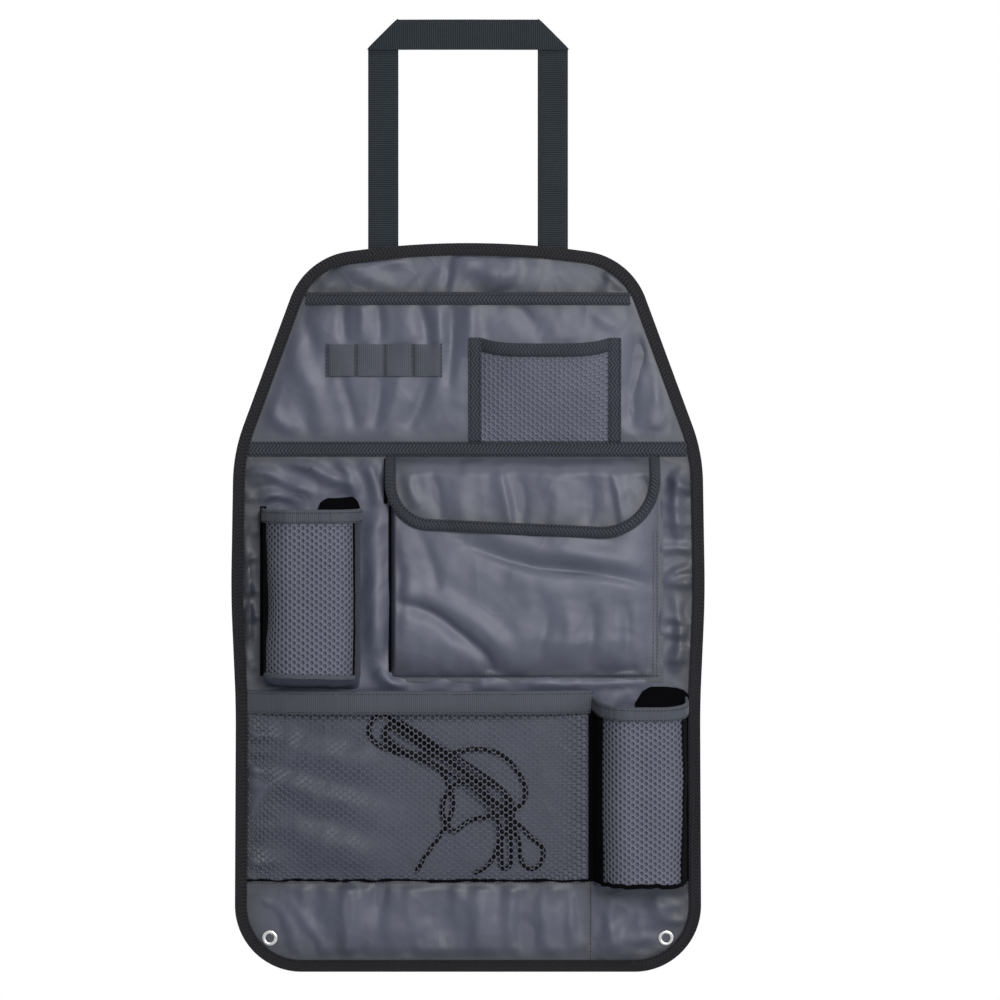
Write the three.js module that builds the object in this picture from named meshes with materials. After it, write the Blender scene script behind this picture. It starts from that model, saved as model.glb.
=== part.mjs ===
// Car seat back organizer: a cloth panel with bound edges, sewn pockets and a folded webbing strap.
// Millimetres. The group stands up with +Z up and its pockets facing -Y. Each piece is drawn on the
// panel as it lies flat: x to the right, y up, z out of the panel towards the viewer, with z = 0 on
// the rear face that lies on the seat back and the origin at the middle of that face.

import * as THREE from "three";

// Cloth and sewing
const CLOTH = 0.8;
const TAPE = 0.9;
const WEBBING = 1.3;
const SEAM_GAP = 0.3;
const LAYER_ONE = CLOTH + SEAM_GAP;
const LAYER_TWO = LAYER_ONE + CLOTH + SEAM_GAP;

// Panel outline: corners of the right half, each rounded by its own radius
const PANEL_BOTTOM_Y = -300;
const BOTTOM_HALF_WIDTH = 192.5;
const BOTTOM_CORNER_RADIUS = 55;
const WAIST_HALF_WIDTH = 191.5;
const WAIST_Y = -80;
const HIP_HALF_WIDTH = 195.5;
const HIP_Y = 10;
const SIDE_BOW_RADIUS = 800;
const SHOULDER_HALF_WIDTH = 193.5;
const SHOULDER_Y = 128;
const SHOULDER_RADIUS = 140;
const TOP_HALF_WIDTH = 134;
const TOP_CORNER_Y = 289.5;
const TOP_CORNER_RADIUS = 60;
const CROWN_Y = 307;
const CROWN_RADIUS = 700;
const ARC_STEP = THREE.MathUtils.degToRad(16);
const EDGE_TAPE_WIDTH = 10;
const SEAT_FIELD_HALF_WIDTH = 110;
const SEAT_FIELD_TOP_Y = 110;
const SEAT_FIELD_BOTTOM_Y = -70;

// Hanging strap
const STRAP_WIDTH = 25;
const STRAP_LEG_SPACING = 140;
const STRAP_TOP_Y = 485.5;
const STRAP_END_Y = 262;
const STRAP_FOLD_STEPS = 6;

// Upper pocket, its pen loops and the middle tape
const UPPER_POCKET_TOP_Y = 259;
const UPPER_POCKET_DEPTH = 7;
const UPPER_COLUMNS = 12;
const UPPER_ROWS = 6;
const UPPER_TAPE_WIDTH = 9.5;
const MIDDLE_SEAM_Y = 131.2;
const MIDDLE_TAPE_WIDTH = 12;
const PEN_BAND_LEFT_X = -117;
const PEN_BAND_TOP_Y = 217;
const PEN_BAND_HEIGHT = 26;
const PEN_LOOP_COUNT = 4;
const PEN_LOOP_WIDTH = 22;
const PEN_LOOP_RISE = 8.5;
const PEN_LOOP_STEPS = 4;
const PEN_SEAM_WIDTH = 1.6;

// Card pocket
const CARD_LEFT_X = 0.8;
const CARD_RIGHT_X = 126.2;
const CARD_TOP_Y = 222.5;
const CARD_SIDE_TAPE_WIDTH = 10.5;
const CARD_BAND_HEIGHT = 10;
const CARD_SAG = 5;
const CARD_POCKET_DEPTH = 9;
const CARD_NET_COLUMNS = 6;
const CARD_NET_ROWS = 4;

// Flap pocket
const BAG_LEFT_X = -63;
const BAG_RIGHT_X = 157;
const BAG_TOP_Y = 104;
const BAG_BOTTOM_Y = -57;
const BAG_DEPTH = 9;
const BAG_GUSSET_RUN = 7;
const BAG_GUSSET_STEPS = 3;
const BAG_COLUMNS = 6;
const BAG_ROWS = 3;
const BAG_SEAM_WIDTH = 4;
const FLAP_LEFT_X = -67;
const FLAP_RIGHT_X = 157;
const FLAP_LEFT_Y = 67;
const FLAP_RIGHT_Y = 57;
const FLAP_LEFT_RADIUS = 38;
const FLAP_RIGHT_RADIUS = 47;
const FLAP_HINGE_DROP = 17;
const FLAP_HINGE_STEPS = 3;
const FLAP_EDGE_STEPS = 4;
const FLAP_TAPE_WIDTH = 9;

// Bottle holders
const HOLDER_DEPTH = 42;
const HOLDER_CORNER_RADIUS = 26;
const HOLDER_FLANGE = 4;
const HOLDER_NET_COLUMNS = 8;
const HOLDER_NET_ROWS = 6;
const HOLDER_HEM = 4;
const LEFT_HOLDER_LEFT_X = -166;
const LEFT_HOLDER_RIGHT_X = -89;
const LEFT_HOLDER_TOP_Y = 83;
const LEFT_HOLDER_BOTTOM_Y = -55;
const LEFT_HOLDER_BAND = 10.5;
const LEFT_HOLDER_DIP = 1.5;
const LEFT_HOLDER_DROP = 10;
const RIGHT_HOLDER_LEFT_X = 106.5;
const RIGHT_HOLDER_TOP_Y = -72;
const RIGHT_HOLDER_BOTTOM_Y = -225;
const RIGHT_HOLDER_BAND = 11;
const RIGHT_HOLDER_DIP = 7;
const RIGHT_HOLDER_DROP = 3;

// Lower net pocket
const LOWER_POCKET_TOP_Y = -67.5;
const LOWER_POCKET_FLOOR_Y = -225;
const LOWER_POCKET_DEPTH = 15;
const LOWER_FLOOR_RUN = 32;
const LOWER_BAND_HEIGHT = 18;
const LOWER_NET_COLUMNS = 10;
const LOWER_NET_ROWS = 4;

// Nets: share of each diamond cell that is hole, and how near a cell's centre lies to the rim
const NET_OPENNESS = 0.8;
const NET_RIM = 0.01;

// Eyelets
const EYELET_HOLE_RADIUS = 3.3;
const EYELET_WALL = 0.6;
const EYELET_FLANGE_RADIUS = 6.5;
const EYELET_FLANGE_HEIGHT = 1.1;
const EYELET_ROLL_RADIUS = 5.2;
const EYELET_ROLL_HEIGHT = 0.8;
const WASHER_THICKNESS = 0.6;
const EYELET_EDGE_DISTANCE = 17.5;
const EYELET_ANGLE = THREE.MathUtils.degToRad(46);
const EYELET_SIDES = 12;

// Elastic cord that lies in the lower pocket
const CORD_RADIUS = 1.75;
const CORD_SIDES = 8;
const CORD_STEPS = 80;
const CORD_ON_PANEL = 3;
const CORD_OVER_ONE = 6.9;
const CORD_OVER_TWO = 10.8;

const MATERIALS = {
  cloth: { color: 0x23242a, roughness: 0.55, metalness: 0 },
  pocketCloth: { color: 0x26272e, roughness: 0.5, metalness: 0 },
  tape: { color: 0x101116, roughness: 0.75, metalness: 0 },
  webbing: { color: 0x0c0e12, roughness: 0.8, metalness: 0 },
  net: { color: 0x282930, roughness: 0.5, metalness: 0 },
  band: { color: 0x16171d, roughness: 0.65, metalness: 0 },
  nickel: { color: 0xb9b9bd, roughness: 0.25, metalness: 1 },
  cord: { color: 0x08080a, roughness: 0.7, metalness: 0 },
};

function vector(x, y, z) {
  return new THREE.Vector3(x, y, z);
}

function steps(count) {
  return Array.from({ length: count + 1 }, (_, i) => i / count);
}

function between(from, to, count) {
  return steps(count).map((t) => THREE.MathUtils.lerp(from, to, t));
}

function piece(name, geometry, look) {
  geometry.computeVertexNormals();
  const mesh = new THREE.Mesh(geometry, new THREE.MeshStandardMaterial(MATERIALS[look]));
  mesh.name = name;
  return mesh;
}

// Closed thin solid from a flat pattern of points and triangles. place(point, side) gives the
// position of a pattern point on the rear face (side 0) and on the front face (side 1).
function thickSheet({ points, triangles }, place) {
  const count = points.length;
  const position = [0, 1].flatMap((side) => points.flatMap((point) => place(point, side).toArray()));
  const edges = new Map();
  const index = [];
  for (const [a, b, c] of triangles) {
    index.push(a + count, b + count, c + count, c, b, a);
    for (const [from, to] of [[a, b], [b, c], [c, a]]) {
      edges.set(`${from} ${to}`, [from, to]);
    }
  }
  for (const [from, to] of edges.values()) {
    if (!edges.has(`${to} ${from}`)) {
      index.push(from, to, to + count, from, to + count, from + count);
    }
  }
  const geometry = new THREE.BufferGeometry();
  geometry.setAttribute("position", new THREE.Float32BufferAttribute(position, 3));
  geometry.setIndex(index);
  return geometry;
}

// Pattern of rows and columns. A wrapped pattern joins its last column to its first.
function grid(us, vs, wrapped = false) {
  const points = vs.flatMap((v) => us.map((u) => ({ u, v })));
  const triangles = [];
  const columns = wrapped ? us.length : us.length - 1;
  for (let row = 0; row < vs.length - 1; row += 1) {
    for (let column = 0; column < columns; column += 1) {
      const a = row * us.length + column;
      const b = row * us.length + ((column + 1) % us.length);
      triangles.push([a, b, b + us.length], [a, b + us.length, a + us.length]);
    }
  }
  return { points, triangles };
}

// Diamond net on the unit square: whole diamonds in even rows, offset ones between them, and
// solid margins outside the square.
function diamondNet(columns, rows, { left = 0, right = 0, bottom = 0, top = 0 }) {
  const points = [];
  const triangles = [];
  const known = new Map();
  const vertex = (u, v) => {
    const key = `${u.toFixed(5)} ${v.toFixed(5)}`;
    if (!known.has(key)) {
      known.set(key, points.length);
      points.push({ u, v });
    }
    return known.get(key);
  };
  const face = (...corners) => {
    const ring = corners.filter((corner, i) => corner !== corners.at(i - 1));
    for (let i = 2; i < ring.length; i += 1) {
      triangles.push([ring[0], ring[i - 1], ring[i]]);
    }
  };
  const width = 1 / columns;
  const height = 1 / rows;
  const tips = (centreU, centreV) => {
    const inside = Math.min(centreU, 1 - centreU, centreV, 1 - centreV) > NET_RIM;
    const reach = inside ? NET_OPENNESS / 2 : 0;
    return {
      left: vertex(centreU - reach * width, centreV),
      right: vertex(centreU + reach * width, centreV),
      bottom: vertex(centreU, centreV - reach * height),
      top: vertex(centreU, centreV + reach * height),
    };
  };
  const whole = (i, j) => tips((i + 0.5) * width, (j + 0.5) * height);
  const offset = (i, j) => tips(i * width, j * height);
  for (let j = 0; j < rows; j += 1) {
    for (let i = 0; i < columns; i += 1) {
      const hole = whole(i, j);
      const lowLeft = offset(i, j);
      const lowRight = offset(i + 1, j);
      const highLeft = offset(i, j + 1);
      const highRight = offset(i + 1, j + 1);
      face(lowLeft.top, lowLeft.right, hole.bottom, hole.left);
      face(lowRight.left, lowRight.top, hole.right, hole.bottom);
      face(highRight.bottom, highRight.left, hole.top, hole.right);
      face(highLeft.right, highLeft.bottom, hole.left, hole.top);
      if (i > 0) {
        face(whole(i - 1, j).right, lowLeft.top, hole.left, highLeft.bottom);
      } else {
        face(lowLeft.top, hole.left, highLeft.bottom);
      }
      if (i === columns - 1) {
        face(hole.right, lowRight.top, highRight.bottom);
      }
      if (j > 0) {
        face(lowLeft.right, whole(i, j - 1).top, lowRight.left, hole.bottom);
      } else {
        face(vertex((i + 0.5) * width, 0), lowRight.left, hole.bottom, lowLeft.right);
      }
      if (j === rows - 1) {
        face(vertex((i + 0.5) * width, 1), highLeft.right, hole.top, highRight.left);
      }
    }
  }
  const us = [-left, ...steps(2 * columns), 1 + right];
  const vs = [-bottom, ...steps(rows), 1 + top];
  for (let j = 0; j < vs.length - 1; j += 1) {
    for (let i = 0; i < us.length - 1; i += 1) {
      const border = i === 0 || j === 0 || i === us.length - 2 || j === vs.length - 2;
      const empty = us[i] === us[i + 1] || vs[j] === vs[j + 1];
      if (border && !empty) {
        const low = [vertex(us[i], vs[j]), vertex(us[i + 1], vs[j])];
        const high = [vertex(us[i + 1], vs[j + 1]), vertex(us[i], vs[j + 1])];
        face(...low, ...high);
      }
    }
  }
  return { points, triangles };
}

// Loop of corners, counter-clockwise, each rounded by its radius and moved in by inset.
// The number of points doesn't depend on the inset, so two loops match point for point.
function roundedLoop(corners, inset) {
  return corners.flatMap((corner, i) => {
    const at = new THREE.Vector2(corner.x, corner.y);
    const before = corners.at(i - 1);
    const after = corners[(i + 1) % corners.length];
    const arrive = at.clone().sub(new THREE.Vector2(before.x, before.y)).normalize();
    const leave = new THREE.Vector2(after.x, after.y).sub(at).normalize();
    const inwardBefore = new THREE.Vector2(-arrive.y, arrive.x);
    const inwardAfter = new THREE.Vector2(-leave.y, leave.x);
    const turn = Math.atan2(arrive.cross(leave), arrive.dot(leave));
    const side = Math.sign(turn);
    const radius = corner.radius - side * inset;
    const mitre = inset / (1 + inwardBefore.dot(inwardAfter));
    const tip = at.addScaledVector(inwardBefore, mitre).addScaledVector(inwardAfter, mitre);
    const start = tip.addScaledVector(arrive, -radius * Math.tan(Math.abs(turn) / 2));
    const centre = start.clone().addScaledVector(inwardBefore, side * radius);
    const count = Math.ceil(Math.abs(turn) / ARC_STEP) + 1;
    return steps(count).map((t) => start.clone().rotateAround(centre, turn * t));
  });
}

const RIGHT_CORNERS = [
  { x: BOTTOM_HALF_WIDTH, y: PANEL_BOTTOM_Y, radius: BOTTOM_CORNER_RADIUS },
  { x: WAIST_HALF_WIDTH, y: WAIST_Y, radius: SIDE_BOW_RADIUS },
  { x: HIP_HALF_WIDTH, y: HIP_Y, radius: SIDE_BOW_RADIUS },
  { x: SHOULDER_HALF_WIDTH, y: SHOULDER_Y, radius: SHOULDER_RADIUS },
  { x: TOP_HALF_WIDTH, y: TOP_CORNER_Y, radius: TOP_CORNER_RADIUS },
];
const CROWN = { x: 0, y: CROWN_Y, radius: CROWN_RADIUS };
const LEFT_CORNERS = RIGHT_CORNERS.map(({ x, y, radius }) => ({ x: -x, y, radius })).reverse();

function panelLoop(inset) {
  return roundedLoop([...RIGHT_CORNERS, CROWN, ...LEFT_CORNERS], inset);
}

const CLOTH_EDGE_INSET = TAPE + SEAM_GAP;
const CLEAR_EDGE_INSET = EDGE_TAPE_WIDTH + SEAM_GAP;
const CLOTH_EDGE = panelLoop(CLOTH_EDGE_INSET);
const CLEAR_EDGE = panelLoop(CLEAR_EDGE_INSET);

// Half width of the panel at height y, along a loop that starts at the bottom right corner
function halfWidthAt(loop, y) {
  const i = loop.findIndex((point) => point.y > y);
  if (i < 1) {
    return loop[0].x;
  }
  const t = (y - loop[i - 1].y) / (loop[i].y - loop[i - 1].y);
  return THREE.MathUtils.lerp(loop[i - 1].x, loop[i].x, t);
}

// Parabola that rises from 0 to 1 and stays there
function rise(t) {
  const clamped = THREE.MathUtils.clamp(t, 0, 1);
  return clamped * (2 - clamped);
}

// Fullness across a pocket: 1 in the middle, 0 at both sewn sides
function fullness(x, left, right) {
  const s = THREE.MathUtils.clamp((2 * x - left - right) / (right - left), -1, 1);
  return 1 - s ** 4;
}

function circle(x, y, radius, sides) {
  return steps(sides)
    .slice(0, sides)
    .map((t) => new THREE.Vector2(radius, 0).rotateAround(new THREE.Vector2(), 2 * Math.PI * t))
    .map((point) => point.add(new THREE.Vector2(x, y)));
}

// Flat pattern inside a contour and around its holes, with every triangle counter-clockwise
function flatPattern(contour, holes) {
  const points = [contour, ...holes].flat();
  const triangles = THREE.ShapeUtils.triangulateShape(contour, holes).map((face) => {
    const area = THREE.ShapeUtils.area(face.map((i) => points[i]));
    return area < 0 ? [...face].reverse() : face;
  });
  return { points, triangles };
}

const CORNER_CENTRE = panelLoop(BOTTOM_CORNER_RADIUS)[0];
const EYELET_REACH = BOTTOM_CORNER_RADIUS - EYELET_EDGE_DISTANCE;
const EYELET_X = CORNER_CENTRE.x + EYELET_REACH * Math.cos(EYELET_ANGLE);
const EYELET_Y = CORNER_CENTRE.y - EYELET_REACH * Math.sin(EYELET_ANGLE);
const EYELET_CUT_RADIUS = EYELET_HOLE_RADIUS + EYELET_WALL + SEAM_GAP;

function backPanel() {
  const holes = [-1, 1].map((side) => circle(side * EYELET_X, EYELET_Y, EYELET_CUT_RADIUS, EYELET_SIDES));
  const field = [
    new THREE.Vector2(-SEAT_FIELD_HALF_WIDTH, SEAT_FIELD_BOTTOM_Y),
    new THREE.Vector2(SEAT_FIELD_HALF_WIDTH, SEAT_FIELD_BOTTOM_Y),
    new THREE.Vector2(SEAT_FIELD_HALF_WIDTH, SEAT_FIELD_TOP_Y),
    new THREE.Vector2(-SEAT_FIELD_HALF_WIDTH, SEAT_FIELD_TOP_Y),
  ];
  const { points, triangles } = flatPattern(CLOTH_EDGE, [...holes, field]);
  const first = points.length - field.length;
  triangles.push([first, first + 1, first + 2], [first, first + 2, first + 3]);
  const sheet = thickSheet({ points, triangles }, (p, side) => vector(p.x, p.y, side * CLOTH));
  return piece("back_panel", sheet, "cloth");
}

// Tape folded round the edge of the panel: rows run from the rear leg over the edge to the front
function edgeBinding() {
  const outer = panelLoop(0);
  const inner = panelLoop(TAPE);
  const end = panelLoop(EDGE_TAPE_WIDTH);
  const rearTop = -SEAM_GAP;
  const rows = [
    { rear: [end, rearTop], front: [end, rearTop - TAPE] },
    { rear: [inner, rearTop], front: [outer, rearTop - TAPE] },
    { rear: [inner, LAYER_TWO], front: [outer, LAYER_TWO + TAPE] },
    { rear: [end, LAYER_TWO], front: [end, LAYER_TWO + TAPE] },
  ];
  const place = ({ u, v }, side) => {
    const [loop, z] = side ? rows[v].front : rows[v].rear;
    return vector(loop[u].x, loop[u].y, z);
  };
  const pattern = grid(outer.map((_, i) => i), rows.map((_, i) => i), true);
  return piece("edge_binding", thickSheet(pattern, place), "tape");
}

// One length of webbing: up the left leg, folded flat at 45 degrees, across and down the right leg
function hangingStrap() {
  const outerX = (STRAP_LEG_SPACING + STRAP_WIDTH) / 2;
  const innerX = (STRAP_LEG_SPACING - STRAP_WIDTH) / 2;
  const lowY = STRAP_TOP_Y - STRAP_WIDTH;
  const legZ = -SEAM_GAP - TAPE - SEAM_GAP - WEBBING / 2;
  const foldRadius = (WEBBING + SEAM_GAP) / 2;
  const stations = [];
  const fold = (side, turn) => {
    const outward = vector(side, 1, 0).normalize();
    const lift = foldRadius * Math.sin(turn);
    const z = legZ + foldRadius * (1 - Math.cos(turn));
    const normal = outward.clone().multiplyScalar(Math.sin(turn)).add(vector(0, 0, -Math.cos(turn)));
    stations.push({
      ends: [vector(side * outerX, lowY, z), vector(side * innerX, STRAP_TOP_Y, z)]
        .map((corner) => corner.addScaledVector(outward, lift)),
      normal,
    });
  };
  const legEnd = (side) => stations.push({
    ends: [vector(side * outerX, STRAP_END_Y, legZ), vector(side * innerX, STRAP_END_Y, legZ)],
    normal: vector(0, 0, -1),
  });
  const turns = between(0, Math.PI, STRAP_FOLD_STEPS);
  legEnd(-1);
  turns.forEach((turn) => fold(-1, turn));
  turns.reverse().forEach((turn) => fold(1, turn));
  legEnd(1);
  const place = ({ u, v }, side) => {
    const { ends, normal } = stations[v];
    return ends[u].clone().addScaledVector(normal, (side - 0.5) * WEBBING);
  };
  const pattern = grid([1, 0], stations.map((_, i) => i));
  return piece("hanging_strap", thickSheet(pattern, place), "webbing");
}

// Rear face of the upper pocket's front above the panel
const MIDDLE_TAPE_TOP_Y = MIDDLE_SEAM_Y + MIDDLE_TAPE_WIDTH / 2;
const MIDDLE_TAPE_BOTTOM_Y = MIDDLE_SEAM_Y - MIDDLE_TAPE_WIDTH / 2;
const UPPER_FOOT_Y = MIDDLE_TAPE_TOP_Y + SEAM_GAP;

function upperPocketZ(x, y) {
  const reach = halfWidthAt(CLEAR_EDGE, y);
  const height = rise((y - UPPER_FOOT_Y) / (UPPER_POCKET_TOP_Y - UPPER_FOOT_Y));
  return LAYER_ONE + UPPER_POCKET_DEPTH * fullness(x, -reach, reach) * height;
}

function upperPocketFront() {
  const across = [-1, ...between(-1, 1, UPPER_COLUMNS), 1];
  const heights = [MIDDLE_SEAM_Y + SEAM_GAP / 2];
  heights.push(...between(UPPER_FOOT_Y, UPPER_POCKET_TOP_Y, UPPER_ROWS));
  const pattern = grid(across.map((_, i) => i), heights);
  const place = ({ u, v }, side) => {
    const sewn = u === 0 || u === across.length - 1;
    const x = across[u] * halfWidthAt(sewn ? CLOTH_EDGE : CLEAR_EDGE, v);
    return vector(x, v, upperPocketZ(x, v) + side * CLOTH);
  };
  return piece("upper_pocket_front", thickSheet(pattern, place), "pocketCloth");
}

// Tape that wraps over the top edge of a pocket's front and lies on its face. xAt(t, y) runs
// along the edge, topAt(x) is the edge's height and faceZ(x, y) the front face of the pocket.
function topTape(count, xAt, topAt, faceZ, width) {
  const place = ({ u, v }, side) => {
    const grow = SEAM_GAP + side * TAPE;
    const edge = topAt(xAt(u, topAt(0)));
    const y = v === 0 ? edge - width : edge + grow;
    const x = xAt(u, y);
    const z = faceZ(x, Math.min(y, edge));
    return vector(x, y, v === 2 ? z - CLOTH : z + grow);
  };
  return thickSheet(grid(steps(count), [0, 1, 2]), place);
}

function upperPocketTape() {
  const xAt = (t, y) => (2 * t - 1) * halfWidthAt(CLEAR_EDGE, y);
  const face = (x, y) => upperPocketZ(x, y) + CLOTH;
  const tape = topTape(UPPER_COLUMNS, xAt, () => UPPER_POCKET_TOP_Y, face, UPPER_TAPE_WIDTH);
  return piece("upper_pocket_binding", tape, "tape");
}

// Row of loops for pens, sewn down between them
function penLoopBand() {
  const pitch = PEN_LOOP_WIDTH + PEN_SEAM_WIDTH;
  const arch = [];
  for (let loop = 0; loop < PEN_LOOP_COUNT; loop += 1) {
    const start = PEN_BAND_LEFT_X + PEN_SEAM_WIDTH + loop * pitch;
    arch.push({ x: start - PEN_SEAM_WIDTH, lift: 0 });
    for (const t of steps(PEN_LOOP_STEPS)) {
      arch.push({ x: start + t * PEN_LOOP_WIDTH, lift: Math.sin(Math.PI * t) });
    }
  }
  arch.push({ x: arch.at(-1).x + PEN_SEAM_WIDTH, lift: 0 });
  const place = ({ u, v }, side) => {
    const { x, lift } = arch[u];
    const rest = upperPocketZ(x, v) + CLOTH + SEAM_GAP;
    return vector(x, v, rest + PEN_LOOP_RISE * lift + side * TAPE);
  };
  const heights = [PEN_BAND_TOP_Y - PEN_BAND_HEIGHT, PEN_BAND_TOP_Y];
  return piece("pen_loop_band", thickSheet(grid(arch.map((_, i) => i), heights), place), "band");
}

const CARD_INNER_LEFT_X = CARD_LEFT_X + CARD_SIDE_TAPE_WIDTH;
const CARD_INNER_RIGHT_X = CARD_RIGHT_X - CARD_SIDE_TAPE_WIDTH;

function cardNetZ(x, y) {
  const height = rise((y - UPPER_FOOT_Y) / (CARD_TOP_Y - UPPER_FOOT_Y));
  const swell = CARD_POCKET_DEPTH * fullness(x, CARD_INNER_LEFT_X, CARD_INNER_RIGHT_X) * height;
  return upperPocketZ(x, y) + CLOTH + SEAM_GAP + swell;
}

function cardTopAt(x) {
  return CARD_TOP_Y - TAPE - SEAM_GAP - CARD_SAG * fullness(x, CARD_INNER_LEFT_X, CARD_INNER_RIGHT_X);
}

function cardX(t) {
  return THREE.MathUtils.lerp(CARD_INNER_LEFT_X + SEAM_GAP, CARD_INNER_RIGHT_X - SEAM_GAP, t);
}

function cardNet() {
  const side = (CARD_SIDE_TAPE_WIDTH - SEAM_GAP) / (cardX(1) - cardX(0));
  const hem = CARD_BAND_HEIGHT / (CARD_TOP_Y - UPPER_FOOT_Y);
  const margins = { left: side, right: side, bottom: hem, top: hem };
  const pattern = diamondNet(CARD_NET_COLUMNS, CARD_NET_ROWS, margins);
  const place = ({ u, v }, face) => {
    const x = cardX(u);
    const y = THREE.MathUtils.mapLinear(v, -hem, 1 + hem, UPPER_FOOT_Y, cardTopAt(x));
    return vector(x, y, cardNetZ(x, y) + face * CLOTH);
  };
  return piece("card_pocket_net", thickSheet(pattern, place), "net");
}

function cardBand() {
  const face = (x, y) => cardNetZ(x, y) + CLOTH;
  const band = topTape(2 * CARD_NET_COLUMNS, cardX, cardTopAt, face, CARD_BAND_HEIGHT);
  return piece("card_pocket_top_band", band, "tape");
}

function cardSideTape(name, left) {
  const place = ({ u, v }, side) =>
    vector(u, v, cardNetZ(u, v) + CLOTH + SEAM_GAP + side * TAPE);
  const pattern = grid([left, left + CARD_SIDE_TAPE_WIDTH], between(UPPER_FOOT_Y, CARD_TOP_Y, UPPER_ROWS));
  return piece(name, thickSheet(pattern, place), "tape");
}

function middleTape() {
  const place = ({ u, v }, side) =>
    vector(u * halfWidthAt(CLEAR_EDGE, v), v, LAYER_TWO + side * TAPE);
  const pattern = grid([-1, 1], [MIDDLE_TAPE_BOTTOM_Y, MIDDLE_TAPE_TOP_Y]);
  return piece("middle_tape", thickSheet(pattern, place), "tape");
}

// Rear face of the flap pocket's bag: soft gussets at the sides and the bottom, open at the top
function bagZ(x, y) {
  const inside = (distance) => THREE.MathUtils.smoothstep(distance, 0, BAG_GUSSET_RUN);
  const sides = inside(x - BAG_LEFT_X) * inside(BAG_RIGHT_X - x);
  return LAYER_ONE + BAG_DEPTH * sides * inside(y - BAG_BOTTOM_Y);
}

function flapPocketBag() {
  const run = between(0, BAG_GUSSET_RUN, BAG_GUSSET_STEPS);
  const middle = between(BAG_LEFT_X + BAG_GUSSET_RUN, BAG_RIGHT_X - BAG_GUSSET_RUN, BAG_COLUMNS);
  const xs = [
    BAG_LEFT_X - BAG_SEAM_WIDTH,
    ...run.map((d) => BAG_LEFT_X + d),
    ...middle.slice(1, -1),
    ...run.map((d) => BAG_RIGHT_X - d).reverse(),
    BAG_RIGHT_X + BAG_SEAM_WIDTH,
  ];
  const ys = [BAG_BOTTOM_Y - BAG_SEAM_WIDTH, ...run.map((d) => BAG_BOTTOM_Y + d)];
  ys.push(...between(BAG_BOTTOM_Y + BAG_GUSSET_RUN, BAG_TOP_Y, BAG_ROWS).slice(1));
  const near = SEAM_GAP / 2;
  const place = ({ u, v }, side) => {
    const riseX = bagZ(u + near, v) - bagZ(u - near, v);
    const riseY = bagZ(u, v + near) - bagZ(u, v - near);
    const normal = vector(-riseX, -riseY, SEAM_GAP).normalize();
    return vector(u, v, bagZ(u, v)).addScaledVector(normal, side * CLOTH);
  };
  return piece("flap_pocket_bag", thickSheet(grid(xs, ys), place), "pocketCloth");
}

// The flap turns out from under the middle tape, over the mouth of the bag
const FLAP_START_Y = MIDDLE_TAPE_BOTTOM_Y - SEAM_GAP;
const FLAP_HUNG_Y = FLAP_START_Y - FLAP_HINGE_DROP;
const FLAP_HUNG_Z = LAYER_ONE + BAG_DEPTH + CLOTH + SEAM_GAP + TAPE + SEAM_GAP;

function flapZ(y) {
  const t = THREE.MathUtils.clamp((FLAP_START_Y - y) / FLAP_HINGE_DROP, 0, 1);
  return LAYER_ONE + (FLAP_HUNG_Z - LAYER_ONE) * Math.sin((Math.PI / 2) * t);
}

// Lower edge of the flap from left to right, moved in by inset
function flapEdge(inset) {
  const corners = [
    { x: FLAP_LEFT_X, y: FLAP_START_Y, radius: 0 },
    { x: FLAP_LEFT_X, y: FLAP_LEFT_Y, radius: FLAP_LEFT_RADIUS },
    { x: FLAP_RIGHT_X, y: FLAP_RIGHT_Y, radius: FLAP_RIGHT_RADIUS },
    { x: FLAP_RIGHT_X, y: FLAP_START_Y, radius: 0 },
  ];
  const loop = roundedLoop(corners, inset);
  const lower = loop.filter((point) => point.y < FLAP_HUNG_Y);
  const turn = lower.findIndex((point, i) => point.distanceTo(lower[i + 1]) > FLAP_RIGHT_RADIUS);
  const straight = steps(FLAP_EDGE_STEPS).map((t) => lower[turn].clone().lerp(lower[turn + 1], t));
  lower.splice(turn, 2, ...straight);
  return lower;
}

function flap() {
  const edge = flapEdge(0);
  const hinge = between(FLAP_HUNG_Y, FLAP_START_Y, FLAP_HINGE_STEPS);
  hinge.push(MIDDLE_SEAM_Y - SEAM_GAP / 2);
  const place = ({ u, v }, side) => {
    const y = v < 0 ? edge[u].y : hinge[v];
    return vector(edge[u].x, y, flapZ(y) + side * CLOTH);
  };
  const pattern = grid(edge.map((_, i) => i), [-1, ...hinge.map((_, i) => i)]);
  return piece("flap", thickSheet(pattern, place), "pocketCloth");
}

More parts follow.
